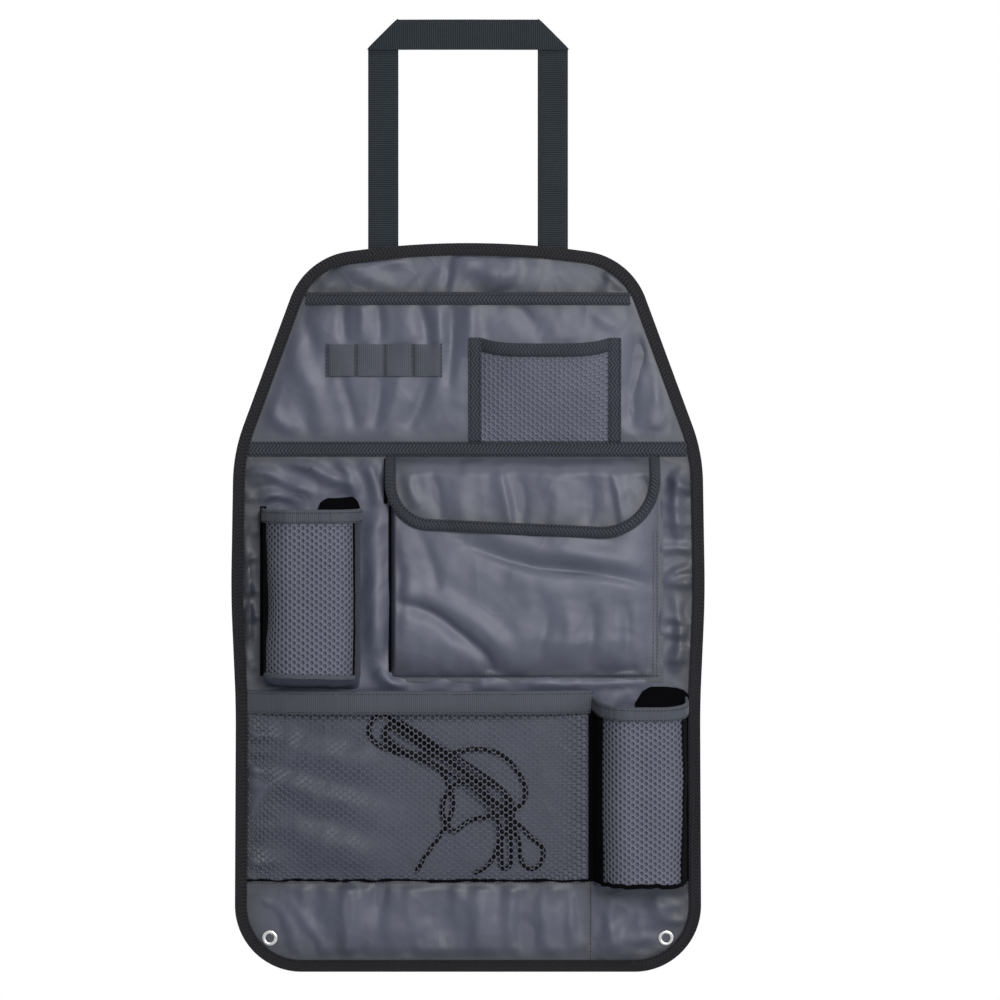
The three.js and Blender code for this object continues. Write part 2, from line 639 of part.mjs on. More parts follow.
// Tape folded round the flap's free edge, from one hinge end to the other
function flapBinding() {
  const heights = between(FLAP_START_Y, FLAP_HUNG_Y, FLAP_HINGE_STEPS).slice(1);
  const route = (inset) => [
    ...heights.map((y) => new THREE.Vector2(FLAP_LEFT_X + inset, y)),
    ...flapEdge(inset),
    ...heights.map((y) => new THREE.Vector2(FLAP_RIGHT_X - inset, y)).reverse(),
  ];
  const outer = route(-SEAM_GAP - TAPE);
  const inner = route(-SEAM_GAP);
  const end = route(FLAP_TAPE_WIDTH - TAPE);
  const rows = [
    { rear: [end, -SEAM_GAP], front: [end, -SEAM_GAP - TAPE] },
    { rear: [inner, -SEAM_GAP], front: [outer, -SEAM_GAP - TAPE] },
    { rear: [inner, CLOTH + SEAM_GAP], front: [outer, CLOTH + SEAM_GAP + TAPE] },
    { rear: [end, CLOTH + SEAM_GAP], front: [end, CLOTH + SEAM_GAP + TAPE] },
  ];
  const place = ({ u, v }, side) => {
    const [line, above] = side ? rows[v].front : rows[v].rear;
    return vector(line[u].x, line[u].y, flapZ(line[u].y) + above);
  };
  const pattern = grid(outer.map((_, i) => i), rows.map((_, i) => i));
  return piece("flap_binding", thickSheet(pattern, place), "tape");
}

// Section of a bottle holder across its width: up from the panel, round the front and back down
function holderPath({ left, right }, grow) {
  const bend = HOLDER_CORNER_RADIUS + grow;
  const high = LAYER_ONE + HOLDER_DEPTH - HOLDER_CORNER_RADIUS;
  const path = new THREE.Path();
  path.moveTo(left - grow, LAYER_ONE + grow);
  path.lineTo(left - grow, high);
  path.absarc(left + HOLDER_CORNER_RADIUS, high, bend, Math.PI, Math.PI / 2, true);
  path.lineTo(right - HOLDER_CORNER_RADIUS, high + bend);
  path.absarc(right - HOLDER_CORNER_RADIUS, high, bend, Math.PI / 2, 0, true);
  path.lineTo(right + grow, LAYER_ONE + grow);
  return path;
}

// Point of that section in the x and z directions, with its sewn flanges beyond 0 and 1
function holderPoint(holder, path, u, grow) {
  if (u < 0) {
    return new THREE.Vector2(holder.left - HOLDER_FLANGE, LAYER_ONE + grow);
  }
  if (u > 1) {
    return new THREE.Vector2(holder.right + HOLDER_FLANGE, LAYER_ONE + grow);
  }
  return path.getPointAt(u);
}

function holderRimY(holder, z) {
  return holder.top - TAPE - SEAM_GAP - holder.dip * (z / (LAYER_ONE + HOLDER_DEPTH));
}

function holderNet(name, holder) {
  const paths = [holderPath(holder, 0), holderPath(holder, CLOTH)];
  const open = holder.top - holder.bottom - holder.band - HOLDER_HEM;
  const margins = { left: 1, right: 1, bottom: HOLDER_HEM / open, top: holder.band / open };
  const pattern = diamondNet(HOLDER_NET_COLUMNS, HOLDER_NET_ROWS, margins);
  const place = ({ u, v }, side) => {
    const point = holderPoint(holder, paths[side], u, side * CLOTH);
    const rim = holderRimY(holder, point.y);
    const y = THREE.MathUtils.mapLinear(v, -margins.bottom, 1 + margins.top, holder.bottom, rim);
    return vector(point.x, y, point.y);
  };
  return piece(name, thickSheet(pattern, place), "net");
}

// Band over the rim of the net, from the panel round to the panel
function holderBand(name, holder) {
  const grows = [CLOTH + SEAM_GAP, CLOTH + SEAM_GAP + TAPE];
  const paths = grows.map((grow) => holderPath(holder, grow));
  const lip = holderPath(holder, 0);
  const foot = LAYER_TWO;
  const place = ({ u, v }, side) => {
    const point = paths[side].getPointAt(u);
    const inner = lip.getPointAt(u);
    const z = Math.max(point.y, foot);
    const rim = holderRimY(holder, z);
    const above = SEAM_GAP + side * TAPE;
    if (v === 0) {
      return vector(point.x, rim - holder.band, z);
    }
    const [x, depth] = v === 1 ? [point.x, z] : [inner.x, Math.max(inner.y, foot)];
    return vector(x, rim + above, depth);
  };
  const pattern = grid(steps(2 * HOLDER_NET_COLUMNS), [0, 1, 2]);
  return piece(name, thickSheet(pattern, place), "band");
}

// Cloth floor of a holder: from the net's lower edge back to a seam on the panel
function holderBase(name, holder) {
  const grows = [0, CLOTH];
  const paths = grows.map((grow) => holderPath(holder, grow));
  const place = ({ u, v }, side) => {
    const point = paths[side].getPointAt(u);
    const y = holder.bottom - SEAM_GAP - grows[side];
    const seamX = THREE.MathUtils.lerp(holder.left - grows[side], holder.right + grows[side], u);
    return vector(point.x, y, point.y).lerp(vector(seamX, y - holder.drop, LAYER_ONE), v);
  };
  const pattern = grid(between(1, 0, HOLDER_NET_COLUMNS), [0, 1]);
  return piece(name, thickSheet(pattern, place), "pocketCloth");
}

const LEFT_HOLDER = {
  left: LEFT_HOLDER_LEFT_X,
  right: LEFT_HOLDER_RIGHT_X,
  top: LEFT_HOLDER_TOP_Y,
  bottom: LEFT_HOLDER_BOTTOM_Y,
  band: LEFT_HOLDER_BAND,
  dip: LEFT_HOLDER_DIP,
  drop: LEFT_HOLDER_DROP,
};

const RIGHT_HOLDER = {
  left: RIGHT_HOLDER_LEFT_X,
  right: halfWidthAt(CLEAR_EDGE, WAIST_Y) - CLOTH - SEAM_GAP - TAPE,
  top: RIGHT_HOLDER_TOP_Y,
  bottom: RIGHT_HOLDER_BOTTOM_Y,
  band: RIGHT_HOLDER_BAND,
  dip: RIGHT_HOLDER_DIP,
  drop: RIGHT_HOLDER_DROP,
};

function bottleHolder(side, holder) {
  const group = new THREE.Group();
  group.add(holderNet(`${side}_holder_net`, holder));
  group.add(holderBand(`${side}_holder_top_band`, holder));
  group.add(holderBase(`${side}_holder_base`, holder));
  return group;
}

// The lower pocket spans from the left binding to the right holder's flange
const LOWER_RIGHT_X = RIGHT_HOLDER_LEFT_X - HOLDER_FLANGE - SEAM_GAP;

function lowerPocketZ(x, y) {
  const left = -halfWidthAt(CLEAR_EDGE, y);
  const height = rise((y - LOWER_POCKET_FLOOR_Y) / LOWER_FLOOR_RUN);
  return LAYER_ONE + LOWER_POCKET_DEPTH * fullness(x, left, LOWER_RIGHT_X) * height;
}

function lowerPocketX(t, y) {
  const left = -halfWidthAt(t < 0 ? CLOTH_EDGE : CLEAR_EDGE, y);
  return THREE.MathUtils.lerp(left, LOWER_RIGHT_X, Math.max(t, 0));
}

function lowerNet() {
  const top = LOWER_POCKET_TOP_Y - TAPE - SEAM_GAP;
  const hem = LOWER_BAND_HEIGHT / (top - LOWER_BAND_HEIGHT - LOWER_POCKET_FLOOR_Y);
  const pattern = diamondNet(LOWER_NET_COLUMNS, LOWER_NET_ROWS, { left: 1, top: hem });
  const place = ({ u, v }, side) => {
    const y = THREE.MathUtils.mapLinear(v, 0, 1 + hem, LOWER_POCKET_FLOOR_Y, top);
    const x = lowerPocketX(u, y);
    return vector(x, y, lowerPocketZ(x, y) + side * CLOTH);
  };
  return piece("lower_pocket_net", thickSheet(pattern, place), "net");
}

function lowerBand() {
  const top = LOWER_POCKET_TOP_Y - TAPE - SEAM_GAP;
  const face = (x, y) => lowerPocketZ(x, y) + CLOTH;
  const band = topTape(2 * LOWER_NET_COLUMNS, lowerPocketX, () => top, face, LOWER_BAND_HEIGHT);
  return piece("lower_pocket_top_band", band, "band");
}

// Flat strip of cloth below the net, bound in with the panel's bottom left corner
function lowerStrip() {
  const topY = LOWER_POCKET_FLOOR_Y - SEAM_GAP;
  const corner = CLOTH_EDGE.filter((point) => point.y < topY && point.x < 0);
  const contour = [
    new THREE.Vector2(LOWER_RIGHT_X, corner.at(-1).y),
    new THREE.Vector2(LOWER_RIGHT_X, topY),
    new THREE.Vector2(-halfWidthAt(CLOTH_EDGE, topY), topY),
    ...corner,
  ];
  const hole = circle(-EYELET_X, EYELET_Y, EYELET_CUT_RADIUS, EYELET_SIDES);
  const place = (point, side) => vector(point.x, point.y, LAYER_ONE + side * CLOTH);
  return piece("lower_pocket_strip", thickSheet(flatPattern(contour, [hole]), place), "pocketCloth");
}

// Ring turned about the z axis from a closed profile of radius and height pairs
function turned(profile) {
  const points = profile.map(([radius, height]) => new THREE.Vector2(radius, height));
  points.push(points[0].clone());
  return new THREE.LatheGeometry(points, EYELET_SIDES).rotateX(Math.PI / 2);
}

// Nickel eyelet set through the cloth, its barrel rolled over a washer at the rear
function eyelet(name, x, clothTop) {
  const barrel = EYELET_HOLE_RADIUS + EYELET_WALL;
  const washerTop = -SEAM_GAP;
  const rollTop = washerTop - WASHER_THICKNESS - SEAM_GAP;
  const seat = clothTop + SEAM_GAP;
  const crown = seat + EYELET_FLANGE_HEIGHT;
  const ring = piece(name, turned([
    [EYELET_HOLE_RADIUS, rollTop - EYELET_ROLL_HEIGHT],
    [EYELET_ROLL_RADIUS - EYELET_WALL, rollTop - EYELET_ROLL_HEIGHT],
    [EYELET_ROLL_RADIUS, rollTop],
    [barrel, rollTop],
    [barrel, seat],
    [EYELET_FLANGE_RADIUS, seat],
    [EYELET_FLANGE_RADIUS - EYELET_WALL, crown],
    [barrel, crown],
    [EYELET_HOLE_RADIUS, seat],
  ]), "nickel");
  const washer = piece(`${name}_washer`, turned([
    [barrel + SEAM_GAP, washerTop - WASHER_THICKNESS],
    [EYELET_FLANGE_RADIUS, washerTop - WASHER_THICKNESS],
    [EYELET_FLANGE_RADIUS, washerTop],
    [barrel + SEAM_GAP, washerTop],
  ]), "nickel");
  const group = new THREE.Group();
  group.add(ring, washer);
  group.position.set(x, EYELET_Y, 0);
  return group;
}

// Elastic cord dropped into the lower pocket: x, y along the panel and z above it
const CORD_ROUTE = [
  [-42.9, -213, CORD_ON_PANEL],
  [-28.9, -201, CORD_ON_PANEL],
  [-14, -183, CORD_ON_PANEL],
  [-8.3, -163.4, CORD_ON_PANEL],
  [-14.9, -146, CORD_ON_PANEL],
  [-29.7, -131.5, CORD_ON_PANEL],
  [-47, -123.5, CORD_ON_PANEL],
  [-66, -117, CORD_ON_PANEL],
  [-77, -105.6, CORD_ON_PANEL],
  [-79, -93, CORD_ON_PANEL],
  [-71, -84.5, CORD_ON_PANEL],
  [-61.5, -91, CORD_ON_PANEL],
  [-47, -104.8, CORD_ON_PANEL],
  [-28.9, -117.2, CORD_ON_PANEL],
  [-8.3, -123.8, CORD_ON_PANEL],
  [10.7, -118.8, CORD_ON_PANEL],
  [27.2, -114.7, CORD_ON_PANEL],
  [38.8, -124, CORD_ON_PANEL],
  [43.7, -146, CORD_ON_PANEL],
  [52.8, -168.3, CORD_ON_PANEL],
  [61, -189.8, CORD_ON_PANEL],
  [62.7, -203, CORD_ON_PANEL],
  [52.8, -211.5, CORD_ON_PANEL],
  [41, -207, 4.5],
  [35.5, -196, 6],
  [34.7, -181.5, CORD_OVER_ONE],
  [25.6, -163.4, CORD_OVER_ONE],
  [10.7, -150.2, CORD_OVER_ONE],
  [-4.1, -138.6, CORD_OVER_ONE],
  [-15.7, -129, CORD_OVER_ONE],
  [-30.5, -113, CORD_OVER_ONE],
  [-48.7, -99, CORD_OVER_ONE],
  [-60, -92, 8],
  [-60, -83.5, 9.5],
  [-47, -86, CORD_OVER_TWO],
  [-33, -99, CORD_OVER_TWO],
  [-17.3, -112, CORD_OVER_TWO],
  [2.5, -128, CORD_OVER_TWO],
  [16.5, -143, CORD_OVER_TWO],
  [24.8, -160.9, CORD_OVER_TWO],
  [28.1, -179, 8],
  [27, -195.5, 5],
  [20.6, -206, CORD_ON_PANEL],
  [7.4, -213, CORD_ON_PANEL],
];

function elasticCord() {
  const path = new THREE.CatmullRomCurve3(CORD_ROUTE.map((point) => vector(...point)));
  const section = new THREE.Shape(circle(0, 0, CORD_RADIUS, CORD_SIDES));
  const tube = new THREE.ExtrudeGeometry(section, { steps: CORD_STEPS, extrudePath: path });
  return piece("elastic_cord", tube, "cord");
}

function upperPocket() {
  const group = new THREE.Group();
  group.add(upperPocketFront(), upperPocketTape(), penLoopBand(), cardNet(), cardBand());
  group.add(cardSideTape("card_pocket_left_tape", CARD_LEFT_X));
  group.add(cardSideTape("card_pocket_right_tape", CARD_INNER_RIGHT_X));
  return group;
}

function flapPocket() {
  const group = new THREE.Group();
  group.add(flapPocketBag(), flap(), flapBinding());
  return group;
}

function lowerPocket() {
  const group = new THREE.Group();
  group.add(lowerNet(), lowerBand(), lowerStrip(), elasticCord());
  return group;
}

const organizer = new THREE.Group();
organizer.add(backPanel(), edgeBinding(), hangingStrap(), middleTape());
organizer.add(upperPocket(), flapPocket(), lowerPocket());
organizer.add(bottleHolder("left", LEFT_HOLDER), bottleHolder("right", RIGHT_HOLDER));
organizer.add(eyelet("left_eyelet", -EYELET_X, LAYER_ONE + CLOTH));
organizer.add(eyelet("right_eyelet", EYELET_X, CLOTH));
organizer.rotation.x = Math.PI / 2;

export default organizer;
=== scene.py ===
import math

import bpy
import numpy as np
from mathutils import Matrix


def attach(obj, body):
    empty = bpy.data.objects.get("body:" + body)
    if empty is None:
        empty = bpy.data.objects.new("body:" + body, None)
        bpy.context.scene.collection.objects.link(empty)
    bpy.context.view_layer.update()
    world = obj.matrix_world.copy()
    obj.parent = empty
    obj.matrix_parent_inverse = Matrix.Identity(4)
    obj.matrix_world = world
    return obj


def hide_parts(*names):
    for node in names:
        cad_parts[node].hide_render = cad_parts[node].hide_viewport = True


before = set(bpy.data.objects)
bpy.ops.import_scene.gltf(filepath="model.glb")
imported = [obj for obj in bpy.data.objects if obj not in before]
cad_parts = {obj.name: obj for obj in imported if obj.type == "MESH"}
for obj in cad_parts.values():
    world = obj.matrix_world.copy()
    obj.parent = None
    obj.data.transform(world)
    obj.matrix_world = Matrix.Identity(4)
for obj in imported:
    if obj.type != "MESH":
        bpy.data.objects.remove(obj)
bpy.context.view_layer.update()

MM = 0.001
BODY = "root"

# Cloth and sewing
CLOTH = 0.8
TAPE = 0.9
WEBBING = 1.3
GAP = 0.3
LAYER_ONE = CLOTH + GAP
LAYER_TWO = LAYER_ONE + CLOTH + GAP

# Steps of the grids that cloth, its bends and the tapes are made of
CLOTH_STEP = 1.6
BEND_STEP = 0.7
TAPE_STEP = 1.2

# Panel outline: x, y and radius of the corners of the right half
RIGHT_CORNERS = [
    (192.5, -300, 55), (191.5, -80, 800), (195.5, 10, 800), (193.5, 128, 140), (134, 289.5, 60),
]
CROWN = (0, 307, 700)
EDGE_TAPE_WIDTH = 10

# Strap
STRAP_WIDTH = 25
STRAP_SPACING = 140
STRAP_TOP = 485.5
STRAP_END = 262
STRAP_OUTER, STRAP_INNER = (STRAP_SPACING + STRAP_WIDTH) / 2, (STRAP_SPACING - STRAP_WIDTH) / 2
STRAP_LOW = STRAP_TOP - STRAP_WIDTH
STRAP_Z = -GAP - TAPE - GAP - WEBBING / 2
STRAP_BEND = (WEBBING + GAP) / 2

# Upper pocket
UPPER_TOP = 259
UPPER_FOOT = 137.5
UPPER_DEPTH = 7
UPPER_TAPE_WIDTH = 9.5
MIDDLE_SEAM = 131.2
MIDDLE_TAPE_WIDTH = 12
PEN_LEFT = -117
PEN_TOP = 217
PEN_HEIGHT = 26
PEN_LOOPS = 4
PEN_WIDTH = 22
PEN_RISE = 2.4
PEN_SEAM = 1.6
CARD_LEFT = 0.8
CARD_RIGHT = 126.2
CARD_TOP = 222.5
CARD_TAPE_WIDTH = 10.5
CARD_BAND = 10
CARD_SAG = 5
CARD_DEPTH = 9
CARD_TUCK = 4

# Flap pocket
BAG_LEFT = -63
BAG_RIGHT = 157
BAG_TOP = 104
BAG_BOTTOM = -57
BAG_DEPTH = 9
BAG_RUN = 4
BAG_SLOPE = 34
BAG_SEAM = 4
FLAP_LEFT = -67
FLAP_RIGHT = 157
FLAP_CORNERS = [(-67, 67, 38), (157, 57, 47)]
FLAP_DROP = 17
FLAP_TAPE_WIDTH = 9

# Lower pocket
LOWER_TOP = -67.5
LOWER_FLOOR = -225
LOWER_DEPTH = 15
LOWER_RUN = 32
LOWER_BAND = 18
LOWER_RIGHT = 102.2

# Knit tucked under a tape or band, and the plain inner face of a knit
TUCK = 3
BACKING = 0.2
BACKING_GAP = 0.54

# Net cell, as knitted: columns, rows, strand and the half axes of each net's holes
NET_COLUMN = 3.6
NET_ROW = 5.2
NET_STRAND = 0.26
CARD_HOLE = (1.4, 1.45)
LOWER_HOLE = (1.9, 2.15)
HOLDER_HOLE = (1.1, 0.9)

# Thread
STITCH_LENGTH = 2.3
STITCH_RADIUS = 0.3
STITCH_LINE = 3
ON_TAPE = CLOTH + GAP + TAPE

# Eyelets and cord
EYELET = (163.3, -272.0)
CORD_RADIUS = 1.75


def out(points):
    """Panel millimetres to frame metres."""
    points = np.asarray(points, dtype=float)
    return np.stack([points[..., 0], -points[..., 2], points[..., 1]], axis=-1) * MM


def smooth(t):
    t = np.clip(t, 0, 1)
    return t * t * (3 - 2 * t)


def rise(t):
    t = np.clip(t, 0, 1)
    return t * (2 - t)


def fullness(x, left, right):
    return 1 - np.clip((2 * x - left - right) / (right - left), -1, 1) ** 4


def noise(x, y, cell, seed):
    """Smooth value noise from -1 to 1 with cells of that size."""
    table = np.random.default_rng(seed).uniform(-1, 1, (128, 128))
    u = np.asarray(x, dtype=float) / cell + 40
    v = np.asarray(y, dtype=float) / cell + 40
    i, j = np.floor(u).astype(int), np.floor(v).astype(int)
    s, t = smooth(u - i), smooth(v - j)
    at = lambda a, b: table[a % 128, b % 128]
    low = at(i, j) * (1 - s) + at(i + 1, j) * s
    high = at(i, j + 1) * (1 - s) + at(i + 1, j + 1) * s
    return low * (1 - t) + high * t


def rumple(x, y, cell, seed):
    """Three octaves of noise."""
    octaves = [(1, 1), (0.4, 2), (0.12, 4)]
    return sum(share * noise(x, y, cell / part, seed + k) for k, (share, part) in enumerate(octaves))


def drape(x, y, angle, cell, seed):
    """Soft folds at an angle in degrees, longer than they are wide."""
    turn = math.radians(angle)
    along = x * math.cos(turn) + y * math.sin(turn)
    across = y * math.cos(turn) - x * math.sin(turn)
    return rumple(along / 2.4, across, cell, seed)


def crease(x, y, cell, seed):
    """Network of sharp ridges between 0 and 1, as in crumpled cloth."""
    return (1 - np.abs(noise(x, y, cell, seed))) ** 5


def rounded(points, times=3):
    """Line with its corners cut, so that a fold bends softly."""
    points = np.asarray(points, dtype=float)
    for _ in range(times):
        a, b = points[:-1], points[1:]
        cut = np.stack([0.75 * a + 0.25 * b, 0.25 * a + 0.75 * b], axis=1).reshape(-1, 2)
        points = np.vstack([points[:1], cut, points[-1:]])
    return points


def near_seam(*distances):
    """Painted shade mask: 1 at a seam, fading to 0 some 30 mm from the nearest one."""
    return np.clip(sum(np.exp(-np.maximum(d, 0) / 9) for d in distances), 0, 1)


def fold(x, y, points, width, height, lean=0.0):
    """Ridge (or valley, where height is negative) along a line of points. It fades at both ends.
    lean makes one side of it steeper, as cloth falls."""
    points = rounded(points)
    lengths = np.linalg.norm(np.diff(points, axis=0), axis=1)
    total = lengths.sum()
    best = np.full(np.shape(x), 1e9)
    along = np.zeros(np.shape(x))
    side = np.zeros(np.shape(x))
    start = 0.0
    for a, b, length in zip(points[:-1], points[1:], lengths):
        d = (b - a) / length
        t = np.clip((x - a[0]) * d[0] + (y - a[1]) * d[1], 0, length)
        dx, dy = x - a[0] - t * d[0], y - a[1] - t * d[1]
        distance = np.hypot(dx, dy)
        near = distance < best
        best = np.where(near, distance, best)
        along = np.where(near, (start + t) / total, along)
        side = np.where(near, np.sign(dx * d[1] - dy * d[0]), side)
        start += length
    spread = width * (1 + lean * side)
    fade = np.sin(np.pi * np.clip(along, 0.02, 0.98)) ** 0.6
    return height * np.exp(-((best / spread) ** 2)) * fade


def arcs_of(corners, inset, step):
    """Rounded corners moved in by inset, each with as many points as where inset is 0."""
    arcs = []
    for i, (x, y, radius) in enumerate(corners):
        at = np.array([x, y], dtype=float)
        before = np.array(corners[i - 1][:2], dtype=float)
        after = np.array(corners[(i + 1) % len(corners)][:2], dtype=float)
        arrive = (at - before) / np.linalg.norm(at - before)
        leave = (after - at) / np.linalg.norm(after - at)
        turn = math.atan2(arrive[0] * leave[1] - arrive[1] * leave[0], float(arrive @ leave))
        side = math.copysign(1, turn)
        inward = [np.array([-v[1], v[0]]) for v in (arrive, leave)]
        tip = at + (inward[0] + inward[1]) * inset / (1 + inward[0] @ inward[1])
        bend = radius - side * inset
        start = tip - arrive * bend * math.tan(abs(turn) / 2)
        centre = start + inward[0] * side * bend
        angles = turn * np.linspace(0, 1, max(3, int(abs(turn) * radius / step)))
        rel = start - centre
        arcs.append(centre + np.stack([
            np.cos(angles) * rel[0] - np.sin(angles) * rel[1],
            np.sin(angles) * rel[0] + np.cos(angles) * rel[1],
        ], axis=1))
    return arcs


def loop_of(corners, inset, step=1.5):
    """Closed loop of rounded corners moved in by inset. Loops of any inset match point for point."""
    arcs = arcs_of(corners, inset, step)
    plain = arcs_of(corners, 0, step)
    points = []
    for i, arc in enumerate(arcs):
        following = (i + 1) % len(arcs)
        count = int(np.linalg.norm(plain[following][0] - plain[i][-1]) / step)
        straight = np.linspace(arc[-1], arcs[following][0], count + 2)[1:-1]
        points.extend([arc, straight])
    return np.concatenate(points)


def loop_part(loop, start, end):
    """Part of a loop, counter-clockwise from the point nearest start to the one nearest end."""
    at = [int(np.argmin(np.linalg.norm(loop - np.array(p, dtype=float), axis=1))) for p in (start, end)]
    if at[1] < at[0]:
        at[1] += len(loop)
    return loop[np.arange(at[0], at[1] + 1) % len(loop)]


def resample(points, count, closed=False):
    points = np.asarray(points, dtype=float)
    if closed:
        points = np.vstack([points, points[:1]])
    lengths = np.concatenate([[0], np.cumsum(np.linalg.norm(np.diff(points, axis=0), axis=1))])
    at = np.linspace(0, lengths[-1], count + 1 if closed else count)
    result = np.stack([np.interp(at, lengths, points[:, k]) for k in range(points.shape[1])], axis=1)
    return result[:-1] if closed else result


LEFT_CORNERS = [(-x, y, r) for x, y, r in reversed(RIGHT_CORNERS)]
ALL_CORNERS = RIGHT_CORNERS + [CROWN] + LEFT_CORNERS


def panel_loop(inset):
    return loop_of(ALL_CORNERS, inset)


CLOTH_EDGE = panel_loop(TAPE + GAP)
CLEAR_EDGE = panel_loop(EDGE_TAPE_WIDTH + GAP)


def half_width(loop, y):
    right = loop[(loop[:, 0] > 0)]
    order = np.argsort(right[:, 1], kind="stable")
    ys, xs = right[order, 1], right[order, 0]
    keep = np.concatenate([[True], np.diff(ys) > 1e-6])
    return np.interp(y, ys[keep], xs[keep])


def normals(points):
    across = np.gradient(points, axis=1)
    up = np.gradient(points, axis=0)
    normal = np.cross(across, up)
    return normal / np.maximum(np.linalg.norm(normal, axis=2, keepdims=True), 1e-9)


def flat_map(grid):
    """Place of each point of a grid on the flat cloth, in metres."""
    rows, columns = grid.shape[:2]
    span = lambda axis: np.linalg.norm(np.diff(grid, axis=axis), axis=2)
    us = np.concatenate([np.zeros((rows, 1)), np.cumsum(span(1), axis=1)], axis=1)
    vs = np.concatenate([np.zeros((1, columns)), np.cumsum(span(0), axis=0)], axis=0)
    return np.stack([us - us[:, -1:] / 2, vs], axis=-1).reshape(-1, 2) * MM


def cells(table):
    """Four corners of each cell of a table."""
    corners = [table[:-1, :-1], table[:-1, 1:], table[1:, 1:], table[1:, :-1]]
    return np.stack([corner.ravel() for corner in corners], axis=1)


def outer_lines(table, wrap):
    """Lines round a table, each in the order that closes a piece."""
    lines = [table[0], table[-1, ::-1]]
    return lines if wrap else lines + [table[:, -1], table[::-1, 0]]


def solid(name, front, back, wrap=False, seam=None):
    """Closed thin piece between two grids of points, seen from the front, with a flat UV map in metres.
    seam is painted shade at each point, strongest near a seam, that darkens the cloth's colour."""
    rows, columns = front.shape[:2]
    index = np.arange(rows * columns).reshape(rows, columns)
    grid = front
    if wrap:
        index = np.concatenate([index, index[:, :1]], axis=1)
        grid = np.concatenate([front, front[:, :1]], axis=1)
    flat = np.arange(rows * grid.shape[1]).reshape(rows, -1)
    shift = rows * columns
    faces = [cells(index), cells(index)[:, ::-1] + shift]
    places = [cells(flat), cells(flat)[:, ::-1]]
    for line, guide in zip(outer_lines(index, wrap), outer_lines(flat, wrap)):
        a, b = line[:-1], line[1:]
        faces.append(np.stack([b, a, a + shift, b + shift], axis=1))
        places.append(np.stack([guide[1:], guide[:-1], guide[:-1], guide[1:]], axis=1))
    verts = out(np.concatenate([front.reshape(-1, 3), back.reshape(-1, 3)]))
    piece = mesh_piece(name, verts, np.concatenate(faces), flat_map(grid)[np.concatenate(places).ravel()])
    if seam is not None:
        shade_points(piece, np.tile(np.broadcast_to(seam, (rows, columns)).ravel(), 2))
    return piece


def link(name, data):
    """Object of that name and data, in the scene."""
    piece = bpy.data.objects.new(name, data)
    bpy.context.scene.collection.objects.link(piece)
    return piece


def mesh_piece(name, verts, faces, loop_uv=None, sharp=50):
    mesh = bpy.data.meshes.new(name)
    mesh.from_pydata(verts.tolist(), [], faces.tolist() if hasattr(faces, "tolist") else faces)
    if loop_uv is not None:
        layer = mesh.uv_layers.new(name="flat")
        layer.data.foreach_set("uv", np.ascontiguousarray(loop_uv, dtype=np.float32).ravel())
    mesh.polygons.foreach_set("use_smooth", [True] * len(mesh.polygons))
    mesh.set_sharp_from_angle(angle=math.radians(sharp))
    mesh.update()
    return link(name, mesh)


def stack(x, y, z):
    return np.stack(np.broadcast_arrays(x, y, z), axis=-1).astype(float)


def ply(name, x, y, z, thickness=CLOTH, seam=None):
    """Piece of even thickness in front of the height z."""
    return solid(name, stack(x, y, z + thickness), stack(x, y, z), seam=seam)


def folded(x, y, folds):
    """Sum of a list of folds."""
    return sum(fold(x, y, *one) for one in folds)


def ripple(x, cell, seed):
    """Noise along one line."""
    return noise(x, 0 * x, cell, seed)


def level(height):
    """Surface of one height."""
    return lambda x, y: height + 0 * x


def above(surface, lift):
    """Surface that lies that far in front of another."""
    return lambda x, y: surface(x, y) + lift


# Surfaces of the cloth: each gives the height of the rear face over the panel

def upper_z(x, y):
    reach = half_width(CLEAR_EDGE, y)
    height = rise((y - UPPER_FOOT) / (UPPER_TOP - UPPER_FOOT))
    z = LAYER_ONE + UPPER_DEPTH * fullness(x, -reach, reach) * height
    loose = smooth((y - UPPER_FOOT) / 14) * smooth((reach - np.abs(x)) / 12)
    calm = 1 - 0.75 * smooth((y - 246) / 8)
    bumps = 1.1 * drape(x, y, 72, 24, 3) + 0.9 * rumple(x, y, 26, 8) + 0.3 * crease(x, y, 40, 6)
    seams = np.exp(-(y - UPPER_FOOT) / 9) + np.exp(-(UPPER_TOP - y) / 9)
    bumps = bumps + 1.1 * ripple(x, 11, 4) * seams
    bumps = bumps + folded(x, y, UPPER_FOLDS)
    return z + loose * calm * bumps


UPPER_FOLDS = [
    ([(2, 254), (3, 232), (0, 205)], 7, 3.4),
    ([(-14, 254), (-13, 225), (-16, 180)], 5, -2.6),
    ([(-101, 254), (-103, 232), (-99, 216)], 5, -2.2),
    ([(-88, 253), (-87, 236), (-88, 218)], 5, 1.8),
    ([(-74, 253), (-72, 232), (-73, 216)], 5, -2.4),
    ([(-40, 254), (-36, 234), (-31, 212)], 6, -2.8),
    ([(-26, 252), (-22, 232), (-24, 200)], 6, 2.0),
    ([(-105, 194), (-99, 172), (-92, 146)], 5, -1.9),
    ([(-72, 194), (-73, 172), (-78, 146)], 5, -2.2),
    ([(-52, 194), (-60, 172), (-66, 148)], 6, 1.8),
    ([(-30, 196), (-38, 172), (-52, 146)], 6, -2.5),
    ([(-160, 228), (-138, 200), (-124, 170), (-120, 142)], 9, 3.0),
    ([(-176, 170), (-160, 160), (-146, 142)], 6, 1.8),
    ([(-142, 252), (-130, 226), (-126, 204)], 7, -2.0),
    ([(40, 254), (48, 240), (60, 228)], 7, -1.8),
    ([(96, 252), (110, 240), (128, 228)], 7, 1.8),
    ([(150, 243), (138, 205), (134, 165), (137, 142)], 6, -2.6),
    ([(168, 220), (158, 190), (153, 145)], 7, 2.6),
    ([(178, 180), (170, 160), (166, 142)], 5, -1.8),
]


